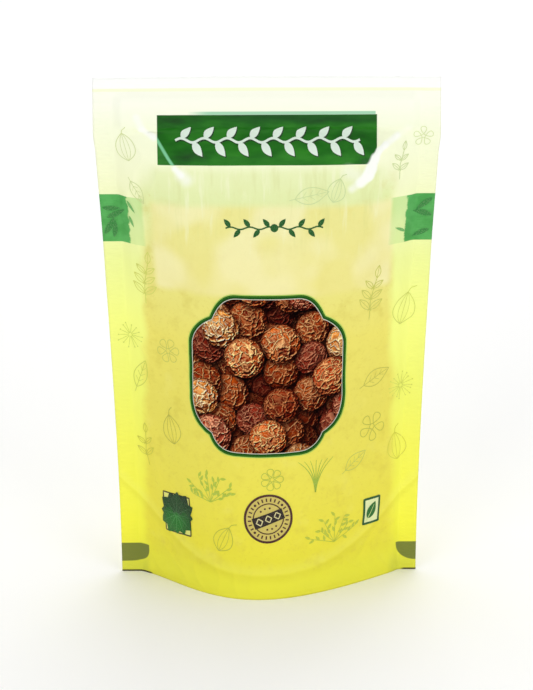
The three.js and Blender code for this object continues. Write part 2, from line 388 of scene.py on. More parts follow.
def set_bake_map(piece, per_corner):
    """A map for baking that lies flat, fills the square and doesn't overlap itself."""
    layer = piece.data.uv_layers.new(name="OFBake")
    layer.uv.foreach_set("vector", np.asarray(per_corner, np.float32).ravel())


def sheet_bake_map(faces, rows, columns):
    """The outer face over most of the square, the inner face and the rim in thin strips above it."""
    s, t = np.meshgrid(np.linspace(0, 1, columns), np.linspace(0, 1, rows))
    outer = np.stack([s.ravel(), OUTER_TOP * t.ravel()], -1)
    inner = np.stack([s.ravel(), INNER_FOOT + (INNER_TOP - INNER_FOOT) * t.ravel()], -1)
    corners = np.concatenate([outer, inner])[faces]
    count = len(faces) - 2 * (rows - 1) * (columns - 1)
    cell = np.array([(0, 0), (1, 0), (1, 1), (0, 1)])
    across_strip = (np.arange(count)[:, None] + cell[:, 0]) / count
    up_strip = RIM_FOOT + (1 - RIM_FOOT) * cell[:, 1] + np.zeros((count, 1))
    corners[-count:] = np.stack([across_strip, up_strip], -1)
    return corners


def set_ink(piece, colours):
    layer = piece.data.color_attributes.new("ink", "FLOAT_COLOR", "POINT")
    full = np.ones((len(colours), 4), np.float32)
    full[:, :3] = colours
    layer.data.foreach_set("color", full.ravel())


def linear(rgb):
    """A screen colour, 0 to 255, as the linear values that shaders use."""
    c = np.asarray(rgb, float) / 255
    return np.where(c <= 0.04045, c / 12.92, ((c + 0.055) / 1.055) ** 2.4)


# Shader building


class Tree:
    """Short calls for a material's nodes. Plain colours are given as a screen shows them, 0 to 255."""

    def __init__(self, name):
        self.material = bpy.data.materials.new(name)
        self.material.use_nodes = True
        self.nodes = self.material.node_tree.nodes
        self.shader = self.nodes["Principled BSDF"]

    def plug(self, socket, value):
        if isinstance(value, bpy.types.NodeSocket):
            self.material.node_tree.links.new(value, socket)
        else:
            socket.default_value = value

    def wired(self, kind, inputs, output=0, **settings):
        """An output of a new node, with its inputs given by name or number; None leaves one as it is."""
        made = self.nodes.new(kind)
        for key, value in settings.items():
            setattr(made, key, value)
        for name, value in inputs.items():
            if value is not None:
                self.plug(made.inputs[name], value)
        return made.outputs[output]

    def finish(self, colour, **inputs):
        """Plug the colour and the shader's other inputs, whose names have _ for a space."""
        self.plug(self.shader.inputs["Base Color"], colour)
        for name, value in inputs.items():
            self.plug(self.shader.inputs[name.replace("_", " ")], value)
        return self.material

    def math(self, operation, a, b=None):
        return self.wired("ShaderNodeMath", {0: a, 1: b}, operation=operation)

    def product(self, *factors):
        out = factors[0]
        for factor in factors[1:]:
            out = self.math("MULTIPLY", out, factor)
        return out

    def vector(self, operation, a, b=None, scale=None, output=0):
        return self.wired("ShaderNodeVectorMath", {0: a, 1: b, "Scale": scale}, output, operation=operation)

    def step(self, value, low, high, out_low=0.0, out_high=1.0):
        """0 below low, 1 above high and a smooth rise between; low may be the larger."""
        if low > high:
            low, high, out_low, out_high = high, low, out_high, out_low
        inputs = dict(enumerate((value, low, high, out_low, out_high)))
        return self.wired("ShaderNodeMapRange", inputs, interpolation_type="SMOOTHSTEP")

    def mix(self, share, a, b):
        a, b = ((*linear(c), 1.0) if isinstance(c, tuple) else c for c in (a, b))
        return self.wired("ShaderNodeMix", {0: share, 6: a, 7: b}, 2, data_type="RGBA")

    def paint(self, ground, colour, *shares):
        """The ground with a colour over it, as strong as the product of the shares."""
        return self.mix(self.product(*shares), ground, colour)

    def ramp(self, value, table):
        ramp = self.nodes.new("ShaderNodeValToRGB")
        points = ramp.color_ramp.elements
        while len(points) < len(table):
            points.new(0.5)
        for point, (place, colour) in zip(points, table):
            point.position = place
            point.color = (*linear(colour), 1.0)
        self.plug(ramp.inputs[0], value)
        return ramp.outputs[0]

    def noise(self, at, scale, detail=2.0, roughness=0.5):
        inputs = {"Vector": at, "Scale": scale, "Detail": detail, "Roughness": roughness}
        return self.wired("ShaderNodeTexNoise", inputs)

    def bump(self, height, strength, distance, under=None):
        inputs = {"Height": height, "Strength": strength, "Distance": distance, "Normal": under}
        return self.wired("ShaderNodeBump", inputs)

    def flat_place(self):
        """The flat film's u and z in millimetres, and both as a vector, from the print's own map."""
        uv = self.wired("ShaderNodeUVMap", {}, uv_map="print")
        u, z = (self.wired("ShaderNodeSeparateXYZ", {0: uv}, k) for k in (0, 1))
        u = self.product(self.math("SUBTRACT", u, 0.5), 2 * FLAT_HALF)
        z = self.product(z, HEIGHT)
        return u, z, self.wired("ShaderNodeCombineXYZ", {0: u, 1: z})

    def solid_place(self):
        """A place in the solid, in millimetres."""
        return self.vector("SCALE", self.wired("ShaderNodeTexCoord", {}, "Object"), scale=1 / MM)

    def window(self, u, z, left, right, foot, head, soft=0.12):
        """1 inside a rectangle of the flat film, with edges as soft as given."""
        return self.product(
            self.step(u, left - soft, left + soft),
            self.step(u, right + soft, right - soft),
            self.step(z, foot - soft, foot + soft),
            self.step(z, head + soft, head - soft),
        )

    def near_line(self, place, start, end, inner, outer):
        """1 within inner of the line from start to end, down to 0 at outer."""
        run = Vector((end[0] - start[0], end[1] - start[1], 0.0))
        here = self.vector("SUBTRACT", place, (*start, 0.0))
        along = self.vector("DOT_PRODUCT", here, tuple(run / run.length_squared), output="Value")
        along = self.math("MAXIMUM", self.math("MINIMUM", along, 1.0), 0.0)
        foot = self.vector("SCALE", tuple(run), scale=along)
        return self.step(self.vector("DISTANCE", here, foot, output="Value"), outer, inner)


# Colours of the film by height: the print, with painted light shining through the side bands, where film
# lies on film, and painted shade over the filled middle.
BACKLIT_BAND_COLOURS = (
    (0.00, (232, 228, 62)),
    (0.10, (248, 246, 68)),
    (0.26, (246, 246, 92)),
    (0.38, (242, 247, 112)),
    (0.52, (247, 253, 134)),
    (0.64, (240, 248, 156)),
    (0.80, (246, 250, 206)),
    (0.90, (248, 252, 222)),
    (0.95, (252, 254, 236)),
    (1.00, (253, 254, 240)),
)
SHADED_MIDDLE_COLOURS = (
    (0.00, (228, 224, 52)),
    (0.10, (236, 226, 62)),
    (0.22, (236, 225, 80)),
    (0.36, (233, 222, 94)),
    (0.50, (237, 226, 106)),
    (0.64, (235, 229, 136)),
    (0.78, (226, 236, 168)),
    (0.84, (236, 243, 196)),
    (1.00, (253, 254, 240)),
)
HEADER = (-47.3, 47.4, 192.8, 213.6)
BAND_HEIGHT = (155.0, 176.6)


RIB_PITCH = 1.25  # of the seal's fine ribs
SEAL_WHITE = (254, 255, 251)
# Painted highlights where hard folds in the film catch the light: from, to, inner and outer half width, and
# strength.
LEFT_FOLD_GLARE = (
    ((-56.2, 212.5), (-53.9, 207.4), 0.4, 2.6, 0.6),
    ((-53.9, 207.2), (-48.6, 203.4), 0.5, 2.2, 0.9),
    ((-39.8, 191.4), (-37.0, 188.6), 0.3, 2.2, 0.9),
    ((-37.0, 188.6), (-34.8, 186.6), 0.2, 4.4, 0.65),
)
RIGHT_FOLD_GLARE = (
    ((61.0, 207.2), (56.2, 203.7), 0.2, 2.8, 0.25),
    ((56.2, 203.7), (51.1, 200.2), 0.3, 2.1, 0.8),
    ((51.1, 200.2), (48.3, 198.0), 0.6, 1.7, 0.95),
    ((48.3, 198.0), (46.6, 195.2), 0.8, 1.8, 1.0),
    ((46.6, 195.2), (44.9, 191.2), 1.2, 2.5, 1.0),
    ((44.9, 191.2), (43.5, 188.0), 1.5, 3.1, 1.0),
    ((43.5, 188.0), (40.4, 185.2), 1.0, 3.0, 0.9),
    ((41.0, 185.8), (36.4, 182.6), 0.1, 2.6, 0.6),
    ((41.0, 187.4), (35.0, 189.4), 0.2, 5.0, 0.4),
)


def finish_film(tree, colour, u, z, place, seals=True, shine=0.22):
    """The satin skin shared by every printed part of the film: fine orange peel, soft haze and seal ribs."""
    normal = tree.bump(tree.noise(place, 0.9, 3.0, 0.6), 0.10, 0.0004)
    if seals:
        ribs = tree.math("SINE", tree.product(z, 2 * math.pi / RIB_PITCH))
        side = tree.step(tree.math("ABSOLUTE", u), SEALED_AT + 0.4, SEALED_AT + 1.2)
        top = tree.step(z, TOP_SEAL_AT + 0.3, TOP_SEAL_AT + 0.9)
        normal = tree.bump(tree.product(ribs, tree.math("MAXIMUM", side, top)), 0.16, 0.0003, normal)
    return tree.finish(
        colour,
        Roughness=tree.step(tree.noise(place, 0.07, 3.0, 0.55), 0.3, 0.7, 0.38, 0.50),
        Normal=normal,
        Specular_IOR_Level=shine,
        Coat_Weight=0.04,
        Coat_Roughness=0.2,
    )


def film_ground(tree, u, z, place):
    """The film's print colour, with painted light where film lies on film and painted shade, duller and
    mottled, over the filling.
    """
    height = tree.math("DIVIDE", z, HEIGHT)
    wander = tree.product(tree.math("SUBTRACT", tree.noise(place, 0.05), 0.5), 8.0)
    reach = tree.math("ADD", tree.step(z, 30.0, 180.0, 63.0, 55.5), wander)
    gap = tree.math("SUBTRACT", tree.math("ABSOLUTE", u), reach)
    filled = tree.product(tree.step(gap, 2.8, -2.8), tree.step(z, 196.0, 176.0), tree.step(z, 4.0, 16.0))
    ground = tree.mix(filled, tree.ramp(height, BACKLIT_BAND_COLOURS), tree.ramp(height, SHADED_MIDDLE_COLOURS))
    # Painted shade and light: berries that press on the film from behind show as faint darker and lighter
    # patches.
    for scale, detail, roughness, low, high, share, colour in (
        (0.10, 4.0, 0.62, 0.50, 0.72, 0.30, (208, 190, 66)),
        (0.55, 3.0, 0.7, 0.52, 0.78, 0.26, (202, 180, 60)),
        (0.09, 2.0, 0.5, 0.55, 0.8, 0.14, (250, 246, 150)),
    ):
        berry_shade_patches = tree.step(tree.noise(place, scale, detail, roughness), low, high)
        ground = tree.paint(ground, colour, berry_shade_patches, filled, share)
    return ground


def mottled(tree, place, scale, one, other):
    """Two colours that turn into each other in slow blots."""
    return tree.mix(tree.step(tree.noise(place, scale, 3.0, 0.6), 0.35, 0.65), one, other)


def strips_behind(tree, u, z, place, ground):
    """The back's green band and foot patches, seen through the side bands where film lies on film."""
    aside = tree.math("ABSOLUTE", u)
    band = tree.window(u, z, -80, 80, *BAND_HEIGHT)
    glow = tree.step(z, 160.0, 175.0, 0.45, 0.75)
    ground = tree.paint(ground, (190, 226, 142), tree.step(aside, 54.0, 56.0), band, glow)
    ragged = tree.product(tree.math("SUBTRACT", tree.noise(place, 0.30, 3.0, 0.6), 0.5), 3.0)
    strip = tree.step(tree.math("ADD", aside, ragged), 62.0, 62.8)
    ground = tree.paint(ground, mottled(tree, place, 0.12, (52, 154, 66), (74, 172, 84)), strip, band, 0.95)
    # A foot patch is a quarter of a rounded block in each corner, the right one smaller.
    right = tree.step(u, -1.0, 1.0)
    reach = tree.math("SUBTRACT", 12.8, tree.product(right, 3.6))
    power = tree.math("SUBTRACT", 3.4, tree.product(right, 1.2))
    across_share = tree.math("DIVIDE", tree.math("SUBTRACT", FLAT_HALF, aside), reach)
    down_share = tree.math("MAXIMUM", tree.math("DIVIDE", tree.math("SUBTRACT", 13.4, z), 8.6), 0.0)
    ring = tree.math("ADD", tree.math("POWER", across_share, power), tree.math("POWER", down_share, power))
    patch = tree.product(tree.step(ring, 1.05, 0.95), tree.step(z, 13.5, 13.2), tree.step(aside, 58.0, 59.0))
    ground = tree.paint(ground, (112, 122, 52), patch, 0.96)
    under = tree.product(tree.step(aside, 60.5, 64.5), tree.step(z, 11.0, 3.0), 0.5)
    ground = tree.paint(ground, (204, 210, 70), under, tree.step(ring, 0.95, 1.05))
    beyond = tree.math("SUBTRACT", aside, tree.math("ADD", 61.0, tree.product(right, 8.0)))
    return tree.paint(ground, (84, 80, 44), tree.step(beyond, -1.0, 1.0), tree.step(z, 0.95, 0.55))


def seal_arc_light_and_shade(tree, u, z, ground):
    """The gusset's curved seal shows as a lighter arc of painted highlight, with a darker lip of painted
    shade above the foot.
    """
    away = tree.math("POWER", tree.math("DIVIDE", tree.math("ABSOLUTE", u), 66.0), 2.4)
    above = tree.math("SUBTRACT", z, tree.math("ADD", SEAL_LOW + 0.6, tree.product(away, 25.0)))
    lit = tree.product(tree.step(above, -0.8, 1.4), tree.step(above, 7.0, 1.4))
    lip = tree.product(tree.step(above, -5.0, -0.8), tree.step(above, 0.8, -0.8))
    return tree.paint(tree.paint(ground, (248, 246, 120), lit, 0.20), (196, 186, 40), lip, 0.16)


def paint_fold_glare(tree, place, ground, lines):
    """Painted highlights along hard folds in the film, where they catch the light."""
    for start, end, inner, outer, share in lines:
        ground = tree.paint(ground, (252, 254, 246), tree.near_line(place, start, end, inner, outer), share)
    return ground


def front_film_material():
    tree = Tree("front_film")
    u, z, place = tree.flat_place()
    ground = film_ground(tree, u, z, place)
    aside = tree.math("ABSOLUTE", u)
    # The label zone is a creamier block between the header and the picture.
    blocks = tree.step(tree.noise(place, 0.045, 1.0, 0.4), 0.38, 0.62)
    cream = tree.mix(blocks, (238, 228, 140), (247, 239, 182))
    ground = tree.paint(ground, cream, tree.window(u, z, -51.0, 56.5, 137.0, 176.0, soft=2.2), 0.72)
    ground = tree.paint(ground, (228, 238, 176), tree.window(u, z, -50.0, 50.0, 176.0, 191.0, soft=3.0), 0.7)
    # Painted shade and light of the ripples in slack film: faint upright streaks, darker and lighter.
    ripple_shading = tree.noise(tree.vector("MULTIPLY", place, (0.22, 0.03, 1.0)), 1.0, 3.0, 0.6)
    slack = tree.product(tree.step(z, 146.0, 174.0), tree.step(z, 197.0, 188.0))
    slack = tree.product(slack, tree.step(aside, 54.0, 48.0))
    ground = tree.paint(ground, (206, 210, 128), tree.step(ripple_shading, 0.52, 0.68), slack, 0.24)
    ground = tree.paint(ground, (248, 250, 216), tree.step(ripple_shading, 0.44, 0.30), slack, 0.4)
    ground = seal_arc_light_and_shade(tree, u, z, ground)
    ground = strips_behind(tree, u, z, place, ground)
    # The top seal, and under it a pale yellow line of painted faint highlight.
    ground = tree.paint(ground, SEAL_WHITE, tree.step(z, TOP_SEAL_AT + 0.2, TOP_SEAL_AT + 0.8))
    line = tree.product(tree.step(z, 223.4, 223.9), tree.step(z, 225.3, 224.8))
    ground = tree.paint(ground, (248, 252, 214), line, 0.9)
    # Painted highlights along the left fold, under the header.
    ground = paint_fold_glare(tree, place, ground, LEFT_FOLD_GLARE)
    # The green header, its ink with slow sweeps of painted crease shade and light, lies over the left fold.
    crease_shade_sweep = tree.noise(tree.vector("MULTIPLY", place, (0.035, 0.11, 1.0)), 1.0, 3.0, 0.55)
    green = tree.ramp(crease_shade_sweep, ((0.30, (4, 62, 4)), (0.48, (16, 100, 6)), (0.66, (38, 124, 22))))
    # Painted shade along the header's top edge under the zip ridge, from the middle rightwards.
    green = tree.paint(green, (4, 66, 14), tree.step(z, 208.6, 211.6), tree.step(u, -26.0, -8.0), 0.55)
    header = tree.window(u, z, *HEADER)
    ground = tree.mix(header, ground, green)
    # Painted highlight: the zip ridge catching the light as a pale mint strip above the header, fading in
    # from the left.
    gleam = tree.window(u, z, -34.0, 46.8, 213.6, 215.1, soft=0.25)
    ground = tree.paint(ground, (150, 208, 172), gleam, tree.step(u, -36.0, -24.0), 0.9)
    # Painted highlight along the left fold where it crosses the green header.
    header_fold_glare = tree.near_line(place, (-48.6, 204.2), (-40.4, 192.4), 0.25, 1.0)
    ground = tree.paint(ground, (128, 206, 156), header_fold_glare, header, 0.9)
    # Painted highlights along the right fold, over the header.
    ground = paint_fold_glare(tree, place, ground, RIGHT_FOLD_GLARE)
    return finish_film(tree, ground, u, z, place)


def back_film_material():
    tree = Tree("back_film")
    u, z, place = tree.flat_place()
    ground = seal_arc_light_and_shade(tree, u, z, film_ground(tree, u, z, place))
    ground = tree.paint(ground, SEAL_WHITE, tree.step(z, TOP_SEAL_AT + 0.2, TOP_SEAL_AT + 0.8))
    green = mottled(tree, place, 0.08, (34, 104, 34), (52, 128, 52))
    ground = tree.paint(ground, green, tree.window(u, z, -80, 80, *BAND_HEIGHT))
    ground = tree.paint(ground, (250, 248, 206), tree.window(u, z, -50.0, 50.0, 52.0, 146.0, soft=0.3), 0.55)
    ground = tree.paint(ground, (104, 116, 46), tree.step(z, 5.0, 5.2), tree.step(z, 13.2, 13.0), 0.9)
    return finish_film(tree, ground, u, z, place)


def gusset_material():
    tree = Tree("gusset_film")
    place = tree.solid_place()
    blots = tree.step(tree.noise(place, 0.09, 4.0, 0.6), 0.35, 0.7)
    return tree.finish(
        tree.mix(blots, (240, 236, 84), (214, 204, 60)),
        Roughness=tree.step(tree.noise(place, 0.07, 3.0), 0.3, 0.7, 0.3, 0.44),
        Normal=tree.bump(tree.noise(place, 0.9, 3.0, 0.6), 0.10, 0.0004),
        Coat_Weight=0.25,
    )


def ink_material(name, grain=0.10, shine=0.22):
    """Ink on the film: its colour is the piece's own, with the press's fine grain."""
    tree = Tree(name)
    u, z, place = tree.flat_place()
    ink = tree.wired("ShaderNodeAttribute", {}, "Color", attribute_name="ink")
    speck = tree.step(tree.noise(place, 2.2, 2.0, 0.6), 0.45, 0.75)
    colour = tree.paint(ink, (250, 248, 214), speck, grain)
    return finish_film(tree, colour, u, z, place, seals=False, shine=shine)


# Film pieces


def film_piece(name, side, material, columns, rows):
    u, z = np.meshgrid(np.linspace(-FLAT_HALF, FLAT_HALF, columns), np.linspace(0, HEIGHT, rows))
    outer = film_points(u, z, side)
    inner = outer - np.array([0, side * FILM_THICK, 0])
    inner[..., 1] = side * np.maximum(side * (inner[..., 1] - sway(u, z)), 0.01) + sway(u, z)
    faces = shell_faces(rows, columns, flip=side == BACK)
    piece = new_piece(name, np.concatenate([outer.reshape(-1, 3), inner.reshape(-1, 3)]), faces, material)
    set_print_map(piece, np.tile(u.ravel(), 2), np.tile(z.ravel(), 2))
    set_bake_map(piece, sheet_bake_map(faces, rows, columns))
    return piece


def belly_height(x, share):
    middle = BELLY_HIGH * clamp01((np.abs(x) - BELLY_FLAT_X) / (BELLY_REACH - BELLY_FLAT_X)) ** 2
    flat = BELLY_FLAT_Y / (BASE_BULGE - 0.8)
    rise = clamp01((np.abs(share) - flat) / (1 - flat)) ** 2
    return middle + (seal_line(x) - FOLD_DROP - middle) * rise


def gusset_piece(material):
    """Sealed flaps against both films and a slack belly between them that rests on the table."""
    columns = np.linspace(-GUSSET_HALF, GUSSET_HALF, 121)
    flap = np.linspace(0, 1, 10)
    shares = np.linspace(-0.96, 0.96, 61)
    outer, inner = [], []
    for x in columns:
        top = float(seal_line(x))
        reach = {s: float(body_depth(x, top, s)) - 0.35 for s in (FRONT, BACK)}
        front = [(x, -(body_depth(x, t * top, FRONT) - 0.1), t * top) for t in flap]
        back = [(x, body_depth(x, t * top, BACK) - 0.1, t * top) for t in flap[::-1]]
        out, low = list(front), [(a, b + 0.3, c - (FOLD_DROP if c > top - 1e-6 else 0)) for a, b, c in front]
        for share in shares:
            y = share * reach[FRONT if share < 0 else BACK]
            slack = 0.5 * noise2(x / 9, y / 9, 61) * smooth((np.abs(x) - 14) / 10)
            slack = slack + 0.35 * noise2(x / 4, y / 4, 62) * smooth((np.abs(y) - 12) / 6)
            height = float(belly_height(x, share)) + abs(slack) * smooth(2 - abs(share) * 2)
            out.append((x, y, height + 0.3))
            low.append((x, y, height))
        out += back
        low += [(a, b - 0.3, c - (FOLD_DROP if c > top - 1e-6 else 0)) for a, b, c in back]
        outer.append(out)
        inner.append(low)
    rows, count = len(columns), len(outer[0])
    points = np.concatenate([np.array(outer, float).reshape(-1, 3), np.array(inner, float).reshape(-1, 3)])
    return new_piece("gusset_belly", points, shell_faces(rows, count, flip=False), material)


# Printed marks


class Ink:
    """Gathers ribbons and patches of one printed piece in flat millimetres, then lays them on the film."""

    def __init__(self, side=FRONT, lift=0.07):
        self.side, self.lift = side, lift
        self.u, self.z, self.lifts, self.faces, self.colours, self.count = [], [], [], [], [], 0

    def patch(self, u, z, colour):
        rows, columns = np.shape(u)
        self.faces.append(grid_faces(rows, columns, self.count, flip=self.side == BACK))
        self.u.append(np.ravel(u))
        self.z.append(np.ravel(z))
        self.lifts.append(np.full(rows * columns, self.lift))
        self.colours.append(np.tile(linear(colour), (rows * columns, 1)))
        self.count += rows * columns

    def line(self, points, width, colour, closed=False, step=0.8):
        """A ribbon along points, resampled evenly; width may taper by giving (start, end)."""
        points = np.asarray(points, float)
        if closed:
            points = np.concatenate([points, points[:1]])
        run = np.concatenate([[0], np.cumsum(np.hypot(*np.diff(points, axis=0).T))])
        count = max(2, int(run[-1] / step) + 1)
        at = np.linspace(0, run[-1], count)
        path = np.stack([np.interp(at, run, points[:, 0]), np.interp(at, run, points[:, 1])], 1)
        slope = np.gradient(path, axis=0)
        if closed:
            slope[0] = slope[-1] = slope[0] + slope[-1]
        slope /= np.maximum(np.linalg.norm(slope, axis=1, keepdims=True), 1e-9)
        aside = np.stack([-slope[:, 1], slope[:, 0]], 1)
        half = np.linspace(*(width if np.ndim(width) else (width, width)), count)[:, None] / 2
        both = np.stack([path + aside * half, path - aside * half], 1)
        self.patch(both[..., 0], both[..., 1], colour)

    def ring(self, centre, inner, outer, colour, rings=2, sides=72, tall=1.0):
        a, r = np.meshgrid(np.radians(np.linspace(0, 360, sides + 1)), np.linspace(inner, outer, rings))
        self.patch(centre[0] + r * np.cos(a), centre[1] + tall * r * np.sin(a), colour)

    def disc(self, centre, radius, colour, sides=24):
        self.ring(centre, 0.02 * radius, radius, colour, int(radius / 1.2) + 2, sides)

    def leaf(self, base, angle, length, width, colour, bend=0.0):
        """A filled leaf from its base, pointing along angle in degrees."""
        t = np.linspace(0, 1, max(6, int(length / 0.7)))
        half = width / 2 * np.sin(np.pi * t**0.8) ** 0.9
        turn = math.radians(angle)
        across_share = np.linspace(-1, 1, max(3, int(width / 0.55) | 1))
        a, s = np.meshgrid(t, across_share)
        along, aside = a * length, s * np.interp(a, t, half) + bend * length * a * a
        u = base[0] + along * math.cos(turn) - aside * math.sin(turn)
        z = base[1] + along * math.sin(turn) + aside * math.cos(turn)
        self.patch(u, z, colour)

    def piece(self, name, material):
        u, z = np.concatenate(self.u), np.concatenate(self.z)
        points = film_points(u, z, self.side, np.concatenate(self.lifts))
        piece = new_piece(name, points, np.concatenate(self.faces), material)
        set_print_map(piece, u, z)
        set_ink(piece, np.concatenate(self.colours))
        return piece


def bezier(points):
    a, b, c, d = (np.array(p, float) for p in points)
    t = np.linspace(0, 1, 14)[:, None]
    return (1 - t) ** 3 * a + 3 * (1 - t) ** 2 * t * b + 3 * (1 - t) * t * t * c + t**3 * d


# The picture's plaque: a square with two shallow curves at each corner that meet in a notch.
PANEL_CENTRE = (-0.2, 102.0)
PANEL_HALF = (35.9, 36.0)
PANEL_TOP_HALF = 13.9
PANEL_SIDE_HALF = 11.5
PANEL_NOTCHES = ((25.6, 25.4), (26.0, 28.0))  # the upper ones, then the lower ones
PANEL_LINE = 1.5


def panel_outline():
    """The plaque's outline round its centre, as a closed list of points."""
    wide, high = PANEL_HALF
    quarters = []
    for across, up in PANEL_NOTCHES:
        start = (PANEL_TOP_HALF, high)
        end = bezier([start, (PANEL_TOP_HALF + 6.2, high), (across - 2.6, up + 5.8), (across, up)])
        side = [(across, up), (across + 5.4, up - 2.4), (wide, up - 7.0), (wide, PANEL_SIDE_HALF)]
        quarters.append(np.concatenate([end, bezier(side)[1:]]))
    right = np.concatenate([quarters[0], quarters[1][::-1] * (1, -1)])
    return np.concatenate([right, right[::-1] * (-1, 1)])


def panel_inside(u, z):
    """Signed distance from the plaque's outline, positive inside, for arrays of places round its centre."""
    outline = panel_outline()
    closed = np.concatenate([outline, outline[:1]])
    nearest = np.full(u.shape, 1e9)
    inside = np.zeros(u.shape, bool)
    for (u0, z0), (u1, z1) in zip(closed[:-1], closed[1:]):
        run = max((u1 - u0) ** 2 + (z1 - z0) ** 2, 1e-12)
        t = clamp01(((u - u0) * (u1 - u0) + (z - z0) * (z1 - z0)) / run)
        nearest = np.minimum(nearest, np.hypot(u - u0 - t * (u1 - u0), z - z0 - t * (z1 - z0)))
        crosses = (z0 > z) != (z1 > z)
        if z1 != z0:
            inside ^= crosses & (u < (u1 - u0) * (z - z0) / (z1 - z0) + u0)
    return np.where(inside, nearest, -nearest)


# The picture's heap, deepest layer first: least spacing, range of radii, brightness and how many at most.
HEAP = ((9.5, (7.4, 8.8), 0.12, 60), (12.5, (7.6, 9.0), 0.50, 34), (15.8, (7.8, 9.2), 0.98, 14))
HEAP_REACH = 41.0
# Amber and brown of a berry's skin and the cream of its ridges.
BERRY_TONES = (
    ((208, 92, 24), (124, 34, 10), (244, 188, 120)),
    ((186, 66, 20), (100, 22, 8), (232, 164, 102)),
    ((222, 142, 60), (160, 78, 24), (250, 224, 164)),
    ((156, 52, 30), (84, 18, 14), (212, 144, 106)),
    ((214, 102, 26), (134, 44, 10), (244, 192, 128)),
)
PICTURE_LIGHT = np.array([-0.36, 0.50, 0.79])


def lay_heap(rng):
    """Centre, radius and brightness of each berry, deepest first."""
    shown = []
    for spacing, radii, bright, most in HEAP:
        laid = []
        for _ in range(4000):
            centre = rng.uniform(-HEAP_REACH, HEAP_REACH, 2)
            if all(np.hypot(*(centre - other)) > spacing for other in laid):
                laid.append(centre)
                shown.append((centre, rng.uniform(*radii), bright * rng.uniform(0.8, 1.15)))
            if len(laid) == most:
                break
    return shown


def crumple(ball, rng, seed, cells, stretch):
    """Distance to the nearest border between a crumpled skin's cells, each point's cell and place in it."""
    seeds = rng.normal(size=(cells, 3))
    seeds *= stretch / np.linalg.norm(seeds, axis=1, keepdims=True)
    warp = np.stack([noise3(ball * 2.6 + 9 * k, seed + k) for k in range(3)], -1)
    fine = np.stack([noise3(ball * 7.0 + 5 * k, seed + 7 + k) for k in range(3)], -1)
    at = (ball + 0.30 * warp + 0.10 * fine) * stretch
    square = (at**2).sum(1)[:, None] + (seeds**2).sum(1)[None] - 2 * at @ seeds.T
    away = np.sqrt(np.maximum(square, 0))
    two = np.argpartition(away, 1, axis=1)[:, :2]
    row = np.arange(len(at))
    first, second = away[row, two[:, 0]], away[row, two[:, 1]]
    own = np.where(first <= second, two[:, 0], two[:, 1])
    return np.abs(second - first), own, at - seeds[own]


def paint_berry(part, du, dz, radius, bright, number, rng):
    """Paint one wrinkled berry over a part of the picture whose places lie (du, dz) from its centre."""
    tones = BERRY_TONES[rng.integers(len(BERRY_TONES))]
    stretch = np.array([1.0, rng.uniform(0.7, 1.4), 1.0])
    cells = int(rng.integers(70, 130))
    turn = np.linalg.qr(rng.normal(size=(3, 3)))[0]
    angle = np.arctan2(dz, du)
    ring = np.stack([np.cos(angle), np.sin(angle), 0 * angle + number], -1)
    wobble = 0.05 * noise3(ring * (2.4, 2.4, 1), 3) + 0.05 * noise3(ring * (6, 6, 1), 4)
    away = np.hypot(du, dz) / radius * (1 + wobble)
    shadow = clamp01((1.24 - np.hypot(du - 0.8, dz + 1.0) / radius) / 0.30)
    part *= (1 - 0.88 * shadow)[..., None]
    near = away < 1.02
    r = np.minimum(away[near], 0.999)
    flat = np.maximum(np.hypot(du[near], dz[near]), 1e-6)
    ball = np.stack([du[near] / flat * r, dz[near] / flat * r, np.sqrt(1 - r * r)], -1)
    skin_at = ball @ turn
    border, own, local = crumple(skin_at, rng, 50 * number, cells, stretch)
    fine_border = crumple(skin_at, rng, 50 * number + 20, cells * 3, stretch)[0]
    tilt = rng.normal(size=(cells, 3))
    ridge = np.exp(-((border / 0.048) ** 1.4))
    hair = np.exp(-((fine_border / 0.028) ** 1.4))
    height = np.zeros(du.shape)
    height[near] = 0.075 * ridge + 0.016 * hair + 0.07 * (local * tilt[own]).sum(-1)
    height[near] -= 0.05 * clamp01(border / 0.25)
    step = abs(du[0, 1] - du[0, 0]) / radius
    slopes = [np.gradient(height, axis=axis)[near] / step for axis in (1, 0)]
    normal = ball - np.stack([*slopes, np.zeros(len(r))], -1)
    normal /= np.linalg.norm(normal, axis=-1, keepdims=True)
    lit = clamp01(normal @ PICTURE_LIGHT)
    tint = clamp01(0.45 + 1.5 * noise3(skin_at * 1.6 + 20, number + 77))
    amber, brown, cream = (linear(tone) for tone in tones)
    skin = amber + (brown - amber) * tint[:, None]
    skin = skin * (1 - 0.55 * clamp01(1 - border / 0.26) * (1 - ridge))[:, None]
    crest = np.maximum(ridge * (0.35 + 0.65 * lit), 0.36 * hair)
    skin = skin + (cream - skin) * (0.80 * crest)[:, None]
    shade = bright * (0.06 + 1.25 * lit**1.2) * (0.30 + 0.70 * smooth((1 - r) / 0.20))
    skin = skin * np.stack([shade**0.9, shade**1.12, shade**1.2], -1)
    cover = smooth((1 - away[near]) / 0.03)[:, None]
    part[near] = part[near] * (1 - cover) + skin * cover


def sharpened(paint, share):
    """The picture over-sharpened on its screen values, as cheap prints are."""
    shown = np.clip(paint, 0, 1) ** (1 / 2.2)
    soft = shown
    weights = np.exp(-((np.arange(-5, 6) / 2.0) ** 2))
    for axis in (0, 1):
        soft = sum(w * np.roll(soft, k - 5, axis) for k, w in enumerate(weights / weights.sum()))
    return clamp01(shown + share * (shown - soft)) ** 2.2


